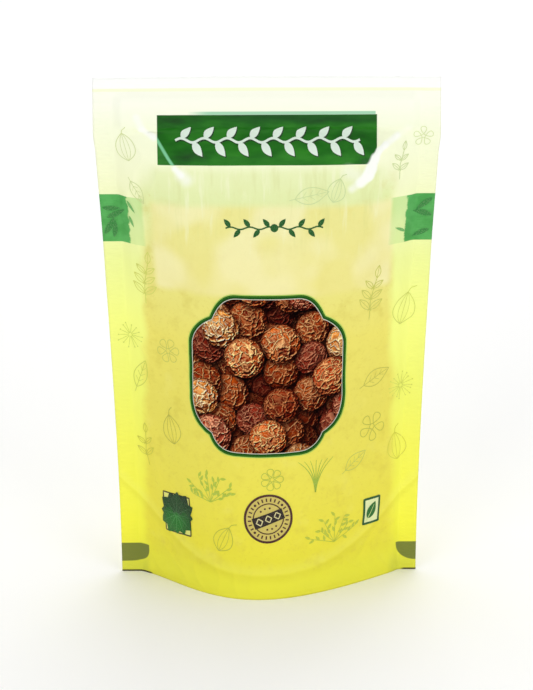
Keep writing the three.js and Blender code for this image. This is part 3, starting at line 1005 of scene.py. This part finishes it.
def paint_heap(u, z):
    """Linear colours of a heap of wrinkled dried berries for a grid of places round the plaque's centre."""
    rng = np.random.default_rng(5)
    paint = np.tile(linear((8, 3, 2)), (*u.shape, 1))
    for number, (centre, radius, bright) in enumerate(lay_heap(rng)):
        reach = 1.3 * radius
        columns = slice(*np.searchsorted(u[0], (centre[0] - reach, centre[0] + reach)))
        rows = slice(*np.searchsorted(z[:, 0], (centre[1] - reach, centre[1] + reach)))
        du, dz = u[rows, columns] - centre[0], z[rows, columns] - centre[1]
        if min(du.shape) > 2:
            paint_berry(paint[rows, columns], du, dz, radius, bright, number, rng)
    # The middle tones are lifted, red the most, which makes the skins warm.
    return sharpened(paint, 1.2) ** (0.82, 0.96, 0.97)


def berry_picture_piece(material, pitch):
    wide, high = PANEL_HALF[0] + 0.2, PANEL_HALF[1] + 0.2
    columns, rows = int(2 * wide / pitch) + 1, int(2 * high / pitch) + 1
    u, z = np.meshgrid(np.linspace(-wide, wide, columns), np.linspace(-high, high, rows))
    inside = panel_inside(u, z)
    paint = paint_heap(u, z)
    faces = grid_faces(rows, columns)
    faces = faces[(inside.ravel()[faces] > 0.35).all(1)]
    used, faces = np.unique(faces, return_inverse=True)
    faces = faces.reshape(-1, 4)
    flat_u, flat_z = u.ravel()[used] + PANEL_CENTRE[0], z.ravel()[used] + PANEL_CENTRE[1]
    points = film_points(flat_u, flat_z, FRONT, 0.06)
    piece = new_piece("berry_picture", points, faces, material)
    set_print_map(piece, flat_u, flat_z)
    spread = np.stack([u.ravel()[used] / wide, z.ravel()[used] / high], -1) / 2 + 0.5
    set_bake_map(piece, spread[faces])
    set_ink(piece, paint.reshape(-1, 3)[used])
    return piece


def panel_frame_piece(material):
    """The plaque's green line, with a pale hairline inside and a light green one outside."""
    ink = Ink(lift=0.12)
    outline = panel_outline()
    centre = np.array(PANEL_CENTRE)

    def at(inset):
        return outline * (1 - inset / PANEL_HALF[1]) + centre

    ink.line(at(PANEL_LINE / 2), PANEL_LINE, (8, 74, 4), closed=True)
    ink.lift = 0.18
    ink.line(at(PANEL_LINE * 0.30), PANEL_LINE * 0.36, (42, 104, 20), closed=True)
    ink.line(at(PANEL_LINE + 0.12), 0.30, (206, 206, 190), closed=True)
    ink.line(at(-0.16), 0.36, (176, 214, 96), closed=True)
    return ink.piece("picture_outline", material)


GARLAND = ((-39.5, 202.4), (40.0, 202.4))
GARLAND_LEAVES = 16
DIVIDER_MIDDLE = (3.0, 166.5)
DIVIDER_REACH = 21.0
DARK_BROWN = (70, 30, 26)
TAN = (206, 188, 96)


def round_badge_piece(material):
    """A plain round ornament: rings, ticks and dots, and a slanted band with three diamonds."""
    ink = Ink(lift=0.07)
    centre, tall = np.array((0.5, 37.7)), 1.05
    ink.ring(centre, 0.2, 10.5, TAN, rings=14, tall=tall)
    ink.lift = 0.15
    ink.ring(centre, 9.75, 10.75, DARK_BROWN, rings=3, tall=tall)
    ink.ring(centre, 6.35, 6.85, DARK_BROWN, tall=tall)
    for k in range(28):
        angle = 2 * math.pi * (k + 0.5) / 28
        direction = np.array([math.cos(angle), math.sin(angle) * tall])
        if k % 7 == 3:
            ink.disc(centre + direction * 8.3, 0.6, DARK_BROWN, sides=12)
            continue
        ink.line([centre + direction * 7.55, centre + direction * 9.05], 0.62, DARK_BROWN, step=0.5)
    for k in range(-1, 2):
        for turn in (90, 270):
            angle = math.radians(turn + 20 + 26 * k)
            place = centre + np.array([math.cos(angle), math.sin(angle) * tall]) * 4.7
            ink.disc(place, 0.46, DARK_BROWN, sides=10)
    lean = math.radians(20)
    along, aside = np.array([math.cos(lean), math.sin(lean)]), np.array([-math.sin(lean), math.cos(lean)])
    s, t = np.meshgrid(np.linspace(-6.9, 6.9, 20), np.linspace(-2.5, 2.5, 8))
    band = centre + s[..., None] * along + t[..., None] * aside
    ink.lift = 0.21
    ink.patch(band[..., 0], band[..., 1], (34, 20, 20))
    ink.lift = 0.28
    for k in (-1, 0, 1):
        middle = centre + along * 4.1 * k
        corners = [middle + along * 1.45, middle + aside * 1.7, middle - along * 1.45, middle - aside * 1.7]
        ink.line(corners, 0.45, (214, 204, 150), closed=True, step=0.4)
    return ink.piece("round_badge", material)


def box_points(corners):
    """A grid of points over the four-sided figure with these corners."""
    a, b, c, d = (np.array(p, float) for p in corners)
    s, t = np.meshgrid(np.linspace(0, 1, 22), np.linspace(0, 1, 26))
    s, t = s[..., None], t[..., None]
    return (a * (1 - s) + b * s) * (1 - t) + (d * (1 - s) + c * s) * t


def leaf_lozenge_piece(material):
    """A small framed box with a leaf in it."""
    ink = Ink(lift=0.07)
    corners = np.array([(46.6, 26.5), (55.6, 26.5), (55.8, 39.0), (46.9, 38.9)])
    field = box_points(corners)
    ink.patch(field[..., 0], field[..., 1], (226, 234, 176))
    ink.lift = 0.15
    ink.line(corners * 0.93 + corners.mean(0) * 0.07, 1.05, (16, 84, 36), closed=True, step=0.6)
    ink.leaf((49.2, 29.2), 62, 8.4, 4.6, (22, 104, 34))
    ink.lift = 0.22
    ink.line([(48.7, 28.4), (51.0, 32.6), (52.4, 35.4)], (0.4, 0.2), (206, 226, 150), step=0.5)
    return ink.piece("leaf_lozenge", material)


def leaf_stamp_piece(material):
    """A rosette of dark green leaves over a thin dark frame with pale corners."""
    ink = Ink(lift=0.07)
    corners = [(-52.5, 41.7), (-37.4, 42.2), (-36.6, 24.6), (-51.8, 23.9)]
    field = box_points(corners)
    ink.patch(field[..., 0], field[..., 1], (226, 226, 120))
    ink.lift = 0.14
    ink.line(corners, 0.6, (52, 34, 26), closed=True, step=0.6)
    ink.lift = 0.21
    middle = np.array((-44.6, 33.0))
    rosette = (
        (114, 11.0, 8.8, (8, 50, 14)),
        (60, 12.4, 9.4, (6, 46, 12)),
        (146, 11.4, 8.6, (10, 60, 16)),
        (30, 11.4, 8.8, (10, 58, 16)),
        (180, 10.2, 8.4, (14, 72, 20)),
        (0, 10.2, 8.4, (14, 70, 20)),
        (212, 11.8, 8.8, (20, 92, 26)),
        (-34, 11.0, 8.4, (18, 88, 24)),
        (240, 12.0, 9.0, (24, 104, 28)),
        (-62, 10.6, 8.0, (22, 98, 26)),
        (88, 11.4, 7.8, (12, 64, 18)),
        (-90, 10.2, 7.8, (26, 110, 30)),
    )
    for angle, length, width, colour in rosette:
        turn = math.radians(angle)
        direction = np.array((math.cos(turn), math.sin(turn)))
        ink.leaf(middle - direction, angle, length, width, colour)
        ink.lift += 0.012
    ink.lift += 0.03
    for angle, length, _, colour in rosette:
        turn = math.radians(angle)
        direction = np.array((math.cos(turn), math.sin(turn)))
        vein = tuple(min(255, c + 44) for c in colour)
        rib = [middle + direction * 0.8, middle + direction * (length - 2.6)]
        ink.line(rib, (0.36, 0.12), vein, step=0.6)
    return ink.piece("leaf_stamp", material)


def draw_vine(ink, start, end, leaves, length, width, colour):
    """A waving stem from start to end, level, with leaves to its two sides by turns."""
    start, run = np.array(start, float), np.subtract(end, start).astype(float)
    way = math.degrees(math.atan2(run[1], run[0]))
    t = np.linspace(0, 1, 12 * leaves)[:, None]
    swing = 0.12 * length
    stem = start + run * t + np.array((0, swing)) * np.sin(np.pi * leaves * t)
    ink.line(stem, 0.14 * length, colour)
    for k in range(leaves):
        side = 1 - 2 * (k % 2)
        place = start + run * (k + 0.5) / leaves + np.array((0, swing * side))
        ink.leaf(place, way + side * math.copysign(50, run[0]), length, width, colour)


def label_leaves_piece(material):
    """A garland of pale leaves with its dark shadow on the header, and a small green divider below it."""
    ink = Ink(lift=0.10)
    for offset, lift, colour in (((0.45, -0.5), 0.10, (4, 54, 14)), ((0.0, 0.0), 0.24, (220, 236, 222))):
        ink.lift = lift
        start, end = np.array(GARLAND[0]) + offset, np.array(GARLAND[1]) + offset
        draw_vine(ink, start, end, GARLAND_LEAVES, 6.6, 3.3, colour)
    ink.lift = 0.10
    for reach in (-DIVIDER_REACH, DIVIDER_REACH):
        end = (DIVIDER_MIDDLE[0] + reach, DIVIDER_MIDDLE[1])
        draw_vine(ink, DIVIDER_MIDDLE, end, 5, 4.4, 2.1, (8, 86, 26))
    ink.lift = 0.16
    ink.disc(DIVIDER_MIDDLE, 1.7, (8, 86, 26))
    return ink.piece("label_leaves", material)


# Faint line drawings of plants


STROKE = 0.34  # half width of a drawn line at its thickest


def turned(points, at, angle, size=1.0):
    turn = math.radians(angle)
    points = np.asarray(points, float) * size
    u = at[0] + points[:, 0] * math.cos(turn) - points[:, 1] * math.sin(turn)
    z = at[1] + points[:, 0] * math.sin(turn) + points[:, 1] * math.cos(turn)
    return np.stack([u, z], 1)


def draw_leaf(ink, at, angle, length, width, colour, veins=3, stroke=STROKE):
    t = np.linspace(0, 1, 16)
    half = width / 2 * np.sin(np.pi * t**0.85)
    ink.line(turned(np.stack([t * length, half], 1), at, angle), stroke, colour)
    ink.line(turned(np.stack([t * length, -half], 1), at, angle), stroke, colour)
    ink.line(turned([(-0.18 * length, 0), (length * 0.92, 0)], at, angle), stroke * 0.8, colour)
    for k in range(veins):
        start = length * (0.22 + 0.2 * k)
        for sign in (1, -1):
            reach = 0.62 * np.interp(start / length + 0.12, t, half)
            vein = turned([(start, 0), (start + 0.14 * length, sign * reach)], at, angle)
            ink.line(vein, stroke * 0.6, colour)


def draw_sprig(ink, at, angle, height, pairs, colour, stroke=STROKE):
    stem = turned([(0, 0), (height * 0.5, height * 0.05), (height, -height * 0.02)], at, angle)
    ink.line(stem, stroke, colour)
    for k in range(pairs):
        share = (k + 1) / (pairs + 1)
        base = turned([(height * share, height * 0.05 * math.sin(math.pi * share))], at, angle)[0]
        size = height * (0.42 - 0.16 * share)
        for sign in (1, -1):
            draw_leaf(ink, base, angle + sign * 52, size, size * 0.42, colour, veins=0, stroke=stroke * 0.9)
    draw_leaf(ink, stem[-1], angle, height * 0.3, height * 0.14, colour, veins=0, stroke=stroke * 0.9)


def draw_husk(ink, at, angle, size, colour):
    """A papery lantern husk: a pointed globe with ribs, on a short bent stem."""
    t = np.linspace(-1, 1, 22)
    for bow in (-1.0, -0.45, 0.0, 0.45, 1.0):
        half = bow * (1 - np.abs(t) ** 2.3) * 0.72 * (1 + 0.22 * t)
        width = STROKE if abs(bow) == 1 else 0.7 * STROKE
        ink.line(turned(np.stack([t, half], 1), at, angle - 90, size), width, colour)
    ink.line(turned([(-1, 0), (-1.3, 0.1), (-1.5, 0.4)], at, angle - 90, size), STROKE, colour)


def draw_flower(ink, at, size, petals, colour, turn=0.0):
    t = np.linspace(0, 1, 14)
    for k in range(petals):
        loop = np.stack([0.22 + 0.78 * np.sin(np.pi * t), 0.30 * np.sin(2 * np.pi * t)], 1)
        ink.line(turned(loop, at, turn + 360 * k / petals, size), STROKE, colour)
    ring = np.linspace(0, 2 * np.pi, 14, endpoint=False)
    eye = turned(np.stack([np.cos(ring), np.sin(ring)], 1), at, 0, 0.2 * size)
    ink.line(eye, STROKE, colour, closed=True)


def draw_seed_head(ink, at, size, rays, colour, rng):
    for k in range(rays):
        angle = 360 * k / rays + rng.uniform(-6, 6)
        long = size * rng.uniform(0.75, 1.0)
        ink.line(turned([(0.12 * size, 0), (long, 0)], at, angle), (0.3, 0.18), colour)
        tip = turned([(long, 0)], at, angle)[0]
        ink.disc(tip, 0.33, colour, sides=7)


def draw_bush(ink, at, size, stems, colour, rng):
    """Filled leaves on a fan of stems, fainter and softer than the line drawings."""
    for k in range(stems):
        angle = 20 + 140 * k / (stems - 1) + rng.uniform(-6, 6)
        long = size * rng.uniform(0.7, 1.0)
        ink.line(turned([(0, 0), (long, 0.06 * long)], at, angle), 0.3, colour)
        for share in (0.4, 0.62, 0.84, 1.0):
            base = turned([(long * share, 0.06 * long * share)], at, angle)[0]
            ink.leaf(base, angle + rng.uniform(-70, 70), size * 0.24, size * 0.10, colour)


def draw_grass(ink, at, size, blades, colour):
    for k in range(blades):
        lean = (k - (blades - 1) / 2) / blades
        curve = bezier([(0, 0), (lean * 2, size * 0.4), (lean * 6, size * 0.7), (lean * size * 1.3, size)])
        ink.line(curve + np.array(at), (0.55, 0.2), colour)


def front_drawings_piece(material):
    """The faint plants round the front, each on its own spot, in ink a little darker than the film there."""
    ink = Ink(lift=0.13)
    rng = np.random.default_rng(12)
    high, mid, low = (206, 222, 158), (196, 200, 84), (186, 188, 52)
    for place, angle, length, width in (
        ((-74.0, 158.5), 52, 9.0, 2.6),
        ((-72.5, 166.0), 20, 9.5, 2.4),
        ((-70.0, 157.0), 76, 8.0, 2.2),
        ((-74.2, 170.5), -8, 8.0, 2.2),
        ((74.0, 174.5), 212, 9.0, 2.4),
        ((74.2, 166.5), 158, 9.0, 2.6),
        ((73.5, 160.0), 196, 8.0, 2.2),
    ):
        ink.leaf(place, angle, length, width, (42, 130, 54), bend=0.12)
    for place, angle, length in (
        ((-62.4, 175.0), -62, 6.5),
        ((-62.0, 168.0), -74, 5.5),
        ((62.6, 160.0), 148, 6.0),
    ):
        ink.leaf(place, angle, length, 1.4, (110, 178, 96), bend=0.1)
    ink.lift = 0.07
    draw_husk(ink, (-61.5, 199), 12, 6.0, (214, 224, 160))
    draw_leaf(ink, (-60, 184), -58, 11, 5.0, (208, 220, 150))
    draw_sprig(ink, (58.0, 184.5), 84, 13, 2, (208, 222, 158))
    draw_flower(ink, (67.6, 203.0), 4.4, 5, (218, 230, 170), turn=18)
    draw_leaf(ink, (12, 178.5), 12, 15, 7, high)
    draw_husk(ink, (30, 182), -18, 5.2, high)
    draw_sprig(ink, (-57, 128), 84, 19, 3, (212, 216, 96))
    draw_seed_head(ink, (-66, 112), 6.0, 14, (210, 222, 92), rng)
    draw_flower(ink, (-47, 108), 5.6, 6, (204, 204, 88), turn=8)
    draw_leaf(ink, (-64.5, 88), 68, 14, 6.4, (206, 214, 84))
    draw_husk(ink, (-46.5, 72), 14, 6.6, (190, 186, 66))
    draw_sprig(ink, (-60, 52), 96, 15, 2, (206, 204, 62))
    draw_sprig(ink, (47, 122), 82, 19, 3, (202, 202, 88))
    draw_husk(ink, (64.5, 124), -14, 7.2, (212, 220, 98))
    draw_leaf(ink, (45.5, 92), 24, 14, 7.0, (196, 192, 74))
    draw_seed_head(ink, (65.0, 88), 6.4, 16, (212, 218, 84), rng)
    draw_flower(ink, (50.5, 72), 6.6, 5, (190, 190, 64), turn=-12)
    draw_husk(ink, (64.0, 60), 10, 6.6, (216, 214, 62))
    draw_bush(ink, (-26, 43), 12.5, 8, (178, 196, 56), rng)
    draw_grass(ink, (22.0, 47.5), 15, 7, (158, 184, 54))
    draw_bush(ink, (31.5, 22.5), 12.5, 7, (186, 196, 50), rng)
    draw_husk(ink, (-19.5, 27.0), -24, 6.2, low)
    draw_leaf(ink, (37.0, 54.5), 36, 12.5, 6.2, mid)
    draw_flower(ink, (2.0, 55.6), 5.0, 7, (184, 192, 60))
    return ink.piece("front_drawings", material)


def back_drawings_piece(material):
    """Leaves along the back's green band and a few plants below it."""
    ink = Ink(side=BACK, lift=0.07)
    rng = np.random.default_rng(21)
    for k in range(9):
        draw_sprig(ink, (-64 + 16 * k, 158.5), 90 + 14 * (-1) ** k, 12.5, 2, (112, 176, 96), stroke=0.45)
    for k in range(3):
        draw_husk(ink, (-30 + 30 * k, 40 - 3 * (k % 2)), 10 * (k - 1), 6.5, (190, 186, 62))
    draw_bush(ink, (-14, 26), 12, 8, (178, 196, 60), rng)
    draw_bush(ink, (20, 26), 12, 8, (178, 196, 60), rng)
    draw_leaf(ink, (-62, 118), 74, 14, 6.4, (208, 214, 92))
    draw_leaf(ink, (61, 98), 104, 14, 6.4, (208, 214, 88))
    return ink.piece("back_drawings", material)


# CAD nodes that keep their shape


def zip_material():
    tree = Tree("zip_plastic")
    place = tree.solid_place()
    cloud = tree.step(tree.noise(place, 0.25, 3.0, 0.5), 0.3, 0.7)
    return tree.finish(
        tree.mix(cloud, (236, 238, 226), (246, 248, 240)),
        Normal=tree.bump(tree.noise(place, 2.0, 2.0), 0.08, 0.0002),
        Roughness=0.32,
    )


def dried_fruit_material():
    tree = Tree("dried_fruit")
    place = tree.solid_place()
    bend = tree.wired("ShaderNodeTexNoise", {"Vector": place, "Scale": 0.22}, "Color")
    bent = tree.vector("ADD", place, tree.vector("SCALE", bend, scale=5.0))
    cells = {"Vector": bent, "Scale": 0.42}
    edge = tree.wired("ShaderNodeTexVoronoi", cells, "Distance", feature="DISTANCE_TO_EDGE")
    ridge = tree.step(edge, 0.16, 0.02)
    tint = tree.noise(place, 0.12, 3.0, 0.6)
    skin = tree.ramp(tint, ((0.3, (84, 26, 12)), (0.5, (134, 58, 20)), (0.7, (176, 98, 40))))
    return tree.finish(
        tree.paint(skin, (226, 172, 118), ridge, 0.7),
        Normal=tree.bump(ridge, 0.7, 0.0008),
        Roughness=tree.step(tint, 0.3, 0.7, 0.62, 0.8),
    )


def dress_node(name, material):
    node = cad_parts[name]
    node.data.materials.clear()
    node.data.materials.append(material)


# Stage, in metres


FLOOR_FLAT = 4.4
FLOOR_CURVE = 0.9
FLOOR_WALL = 1.7
# The lamps: name, place, size and power in watts.
LAMPS = (
    ("key", (-1.3, -2.3, 1.2), (1.6, 1.6), 19.5),
    ("fill", (1.6, -2.1, 0.9), (1.6, 1.6), 17.0),
    ("top", (0.1, 0.6, 2.3), (3.0, 2.4), 32.0),
    ("rear", (0.5, 2.5, 1.5), (2.0, 1.6), 19.0),
)
AIM_ASIDE = -0.0006


def floor_material(colour):
    tree = Tree("stage_paper")
    soft = tree.noise(tree.wired("ShaderNodeTexCoord", {}, "Object"), 4.0, 2.0)
    paper = tree.vector("SCALE", tuple(colour), scale=tree.step(soft, 0.3, 0.7, 1.0, 1.01))
    return tree.finish(paper, Roughness=0.9, Specular_IOR_Level=0.1)


def add_floor(colour):
    """A round pale floor that curves up all round, far beyond the camera."""
    curve = np.radians(np.linspace(0, 90, 13))
    rise = FLOOR_FLAT + FLOOR_CURVE * np.sin(curve)
    radius = np.concatenate([[0, 1.0, 2.5], rise, [FLOOR_FLAT + FLOOR_CURVE]])
    height = np.concatenate([[0, 0, 0], FLOOR_CURVE * (1 - np.cos(curve)), [FLOOR_WALL]])
    angle = np.radians(np.linspace(0, 360, 73))
    r, a = np.meshgrid(radius, angle, indexing="ij")
    h = np.broadcast_to(height[:, None], r.shape)
    points = np.stack([r * np.cos(a), r * np.sin(a), h], -1) / MM
    floor = new_piece("stage_floor", points, grid_faces(*r.shape), floor_material(colour))


def add_light(name, place, size, power, target):
    light = bpy.data.lights.new(name, "AREA")
    light.shape = "RECTANGLE"
    light.size, light.size_y = size
    light.energy = power
    lamp = bpy.data.objects.new(name, light)
    bpy.context.scene.collection.objects.link(lamp)
    lamp.location = place
    lamp.rotation_euler = (Vector(target) - Vector(place)).to_track_quat("-Z", "Y").to_euler()


def add_camera(distance, elevation, focal_length, aim, roll):
    rise = math.radians(elevation)
    data = bpy.data.cameras.new("camera")
    data.lens = focal_length
    data.sensor_width = 36.0
    data.sensor_fit = "AUTO"
    data.clip_end = 50.0
    camera = bpy.data.objects.new("camera", data)
    bpy.context.scene.collection.objects.link(camera)
    aim = Vector(aim)
    camera.location = aim + Vector((0, -math.cos(rise), math.sin(rise))) * distance
    turn = (aim - camera.location).to_track_quat("-Z", "Y").to_matrix().to_4x4()
    camera.rotation_euler = (turn @ Matrix.Rotation(math.radians(roll), 4, "Z")).to_euler()
    bpy.context.scene.camera = camera


def set_world(strength):
    world = bpy.data.worlds.new("studio")
    world.use_nodes = True
    ground = world.node_tree.nodes["Background"]
    ground.inputs["Color"].default_value = (1.0, 1.0, 1.0, 1.0)
    ground.inputs["Strength"].default_value = strength
    bpy.context.scene.world = world


# Settings, operators and panel


class PouchSettings(bpy.types.PropertyGroup):
    film_columns: IntProperty(
        name="Film columns", description="Points across each film", default=176, min=20
    )
    film_rows: IntProperty(name="Film rows", description="Points up each film", default=262, min=20)
    picture_pitch: FloatProperty(
        name="Picture pitch",
        description="Spacing of the berry picture's points",
        default=0.26 * MM,
        unit="LENGTH",
    )


class StageSettings(bpy.types.PropertyGroup):
    floor_colour: FloatVectorProperty(
        name="Floor", description="Colour of the floor", default=(0.975, 0.975, 0.975), subtype="COLOR"
    )
    camera_distance: FloatProperty(
        name="Distance", description="From the camera to the point it aims at", default=3.121, unit="LENGTH"
    )
    camera_elevation: FloatProperty(
        name="Elevation", description="Angle above level, in degrees", default=21.22
    )
    focal_length: FloatProperty(
        name="Focal length", description="On a sensor 36 mm long", default=373.7, unit="CAMERA"
    )
    aim_height: FloatProperty(
        name="Aim height",
        description="Height of the point at the frame's middle",
        default=0.1064,
        unit="LENGTH",
    )
    roll: FloatProperty(name="Roll", description="Turn of the picture, in degrees", default=-0.27)
    ambient: FloatProperty(name="Ambient", description="Strength of the light from all round", default=0.38)


class POUCH_OT_films(bpy.types.Operator):
    """Make the printed front and back films"""

    bl_idname = "pouch.films"
    bl_label = "Front and back films"

    def execute(self, context):
        s = context.scene.pouch
        front = film_piece("front_film_skin", FRONT, front_film_material(), s.film_columns, s.film_rows)
        back = film_piece("back_film_skin", BACK, back_film_material(), s.film_columns, s.film_rows)
        for piece, node in ((front, "front_film"), (back, "back_film")):
            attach(piece, "root")
            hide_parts(node)
        return {"FINISHED"}


class POUCH_OT_gusset(bpy.types.Operator):
    """Make the bottom gusset film"""

    bl_idname = "pouch.gusset"
    bl_label = "Gusset film"

    def execute(self, context):
        piece = gusset_piece(gusset_material())
        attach(piece, "root")
        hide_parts("gusset_film")
        return {"FINISHED"}


class POUCH_OT_inside(bpy.types.Operator):
    """Finish the zip strips and the berries inside"""

    bl_idname = "pouch.inside"
    bl_label = "Zip and filling"

    def execute(self, context):
        plastic = zip_material()
        dress_node("zip_ridge_strip", plastic)
        dress_node("zip_groove_strip", plastic)
        dress_node("dried_berry_filling", dried_fruit_material())
        return {"FINISHED"}


class POUCH_OT_picture(bpy.types.Operator):
    """Print the picture of dried berries and its outline"""

    bl_idname = "pouch.picture"
    bl_label = "Berry picture"

    def execute(self, context):
        pitch = context.scene.pouch.picture_pitch / MM
        picture = berry_picture_piece(ink_material("picture_ink", grain=0.0, shine=0.0), pitch)
        outline = panel_frame_piece(ink_material("outline_ink", grain=0.03, shine=0.08))
        for piece in (picture, outline):
            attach(piece, "root")
        return {"FINISHED"}


class POUCH_OT_marks(bpy.types.Operator):
    """Print the header's leaves, the round badge, the leaf lozenge and the leaf stamp"""

    bl_idname = "pouch.marks"
    bl_label = "Marks"

    def execute(self, context):
        ink = ink_material("mark_ink")
        for make in (label_leaves_piece, round_badge_piece, leaf_lozenge_piece, leaf_stamp_piece):
            piece = make(ink)
            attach(piece, "root")
        return {"FINISHED"}


class POUCH_OT_drawings(bpy.types.Operator):
    """Print the faint line drawings of plants on both films"""

    bl_idname = "pouch.drawings"
    bl_label = "Line drawings"

    def execute(self, context):
        ink = ink_material("drawing_ink", grain=0.2)
        for make in (front_drawings_piece, back_drawings_piece):
            piece = make(ink)
            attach(piece, "root")
        return {"FINISHED"}


class POUCH_OT_stage(bpy.types.Operator):
    """Set up the floor, the lights and the camera"""

    bl_idname = "pouch.stage"
    bl_label = "Stage"

    def execute(self, context):
        s = context.scene.pouch_stage
        add_floor(s.floor_colour)
        middle = (0.0, 0.0, s.aim_height)
        for lamp in LAMPS:
            add_light(*lamp, middle)
        set_world(s.ambient)
        aim = (AIM_ASIDE, 0.0, s.aim_height)
        add_camera(s.camera_distance, s.camera_elevation, s.focal_length, aim, s.roll)
        context.scene.view_settings.view_transform = "Standard"
        return {"FINISHED"}


class POUCH_PT_tools(bpy.types.Panel):
    """The pouch's tools"""

    bl_label = "Stand-up pouch"
    bl_space_type = "VIEW_3D"
    bl_region_type = "UI"
    bl_category = "Pouch"

    def draw(self, context):
        for settings in (context.scene.pouch, context.scene.pouch_stage):
            for name in settings.__annotations__:
                self.layout.prop(settings, name)
        for step in STEPS:
            self.layout.operator(step.bl_idname)


STEPS = (
    POUCH_OT_films,
    POUCH_OT_gusset,
    POUCH_OT_inside,
    POUCH_OT_picture,
    POUCH_OT_marks,
    POUCH_OT_drawings,
    POUCH_OT_stage,
)
CLASSES = (PouchSettings, StageSettings, *STEPS, POUCH_PT_tools)


def register():
    for made in CLASSES:
        bpy.utils.register_class(made)
    bpy.types.Scene.pouch = PointerProperty(type=PouchSettings)
    bpy.types.Scene.pouch_stage = PointerProperty(type=StageSettings)


def unregister():
    del bpy.types.Scene.pouch
    del bpy.types.Scene.pouch_stage
    for made in reversed(CLASSES):
        bpy.utils.unregister_class(made)


def main():
    register()
    for step in STEPS:
        group, name = step.bl_idname.split(".")
        getattr(getattr(bpy.ops, group), name)()


if __name__ == "__main__":
    main()
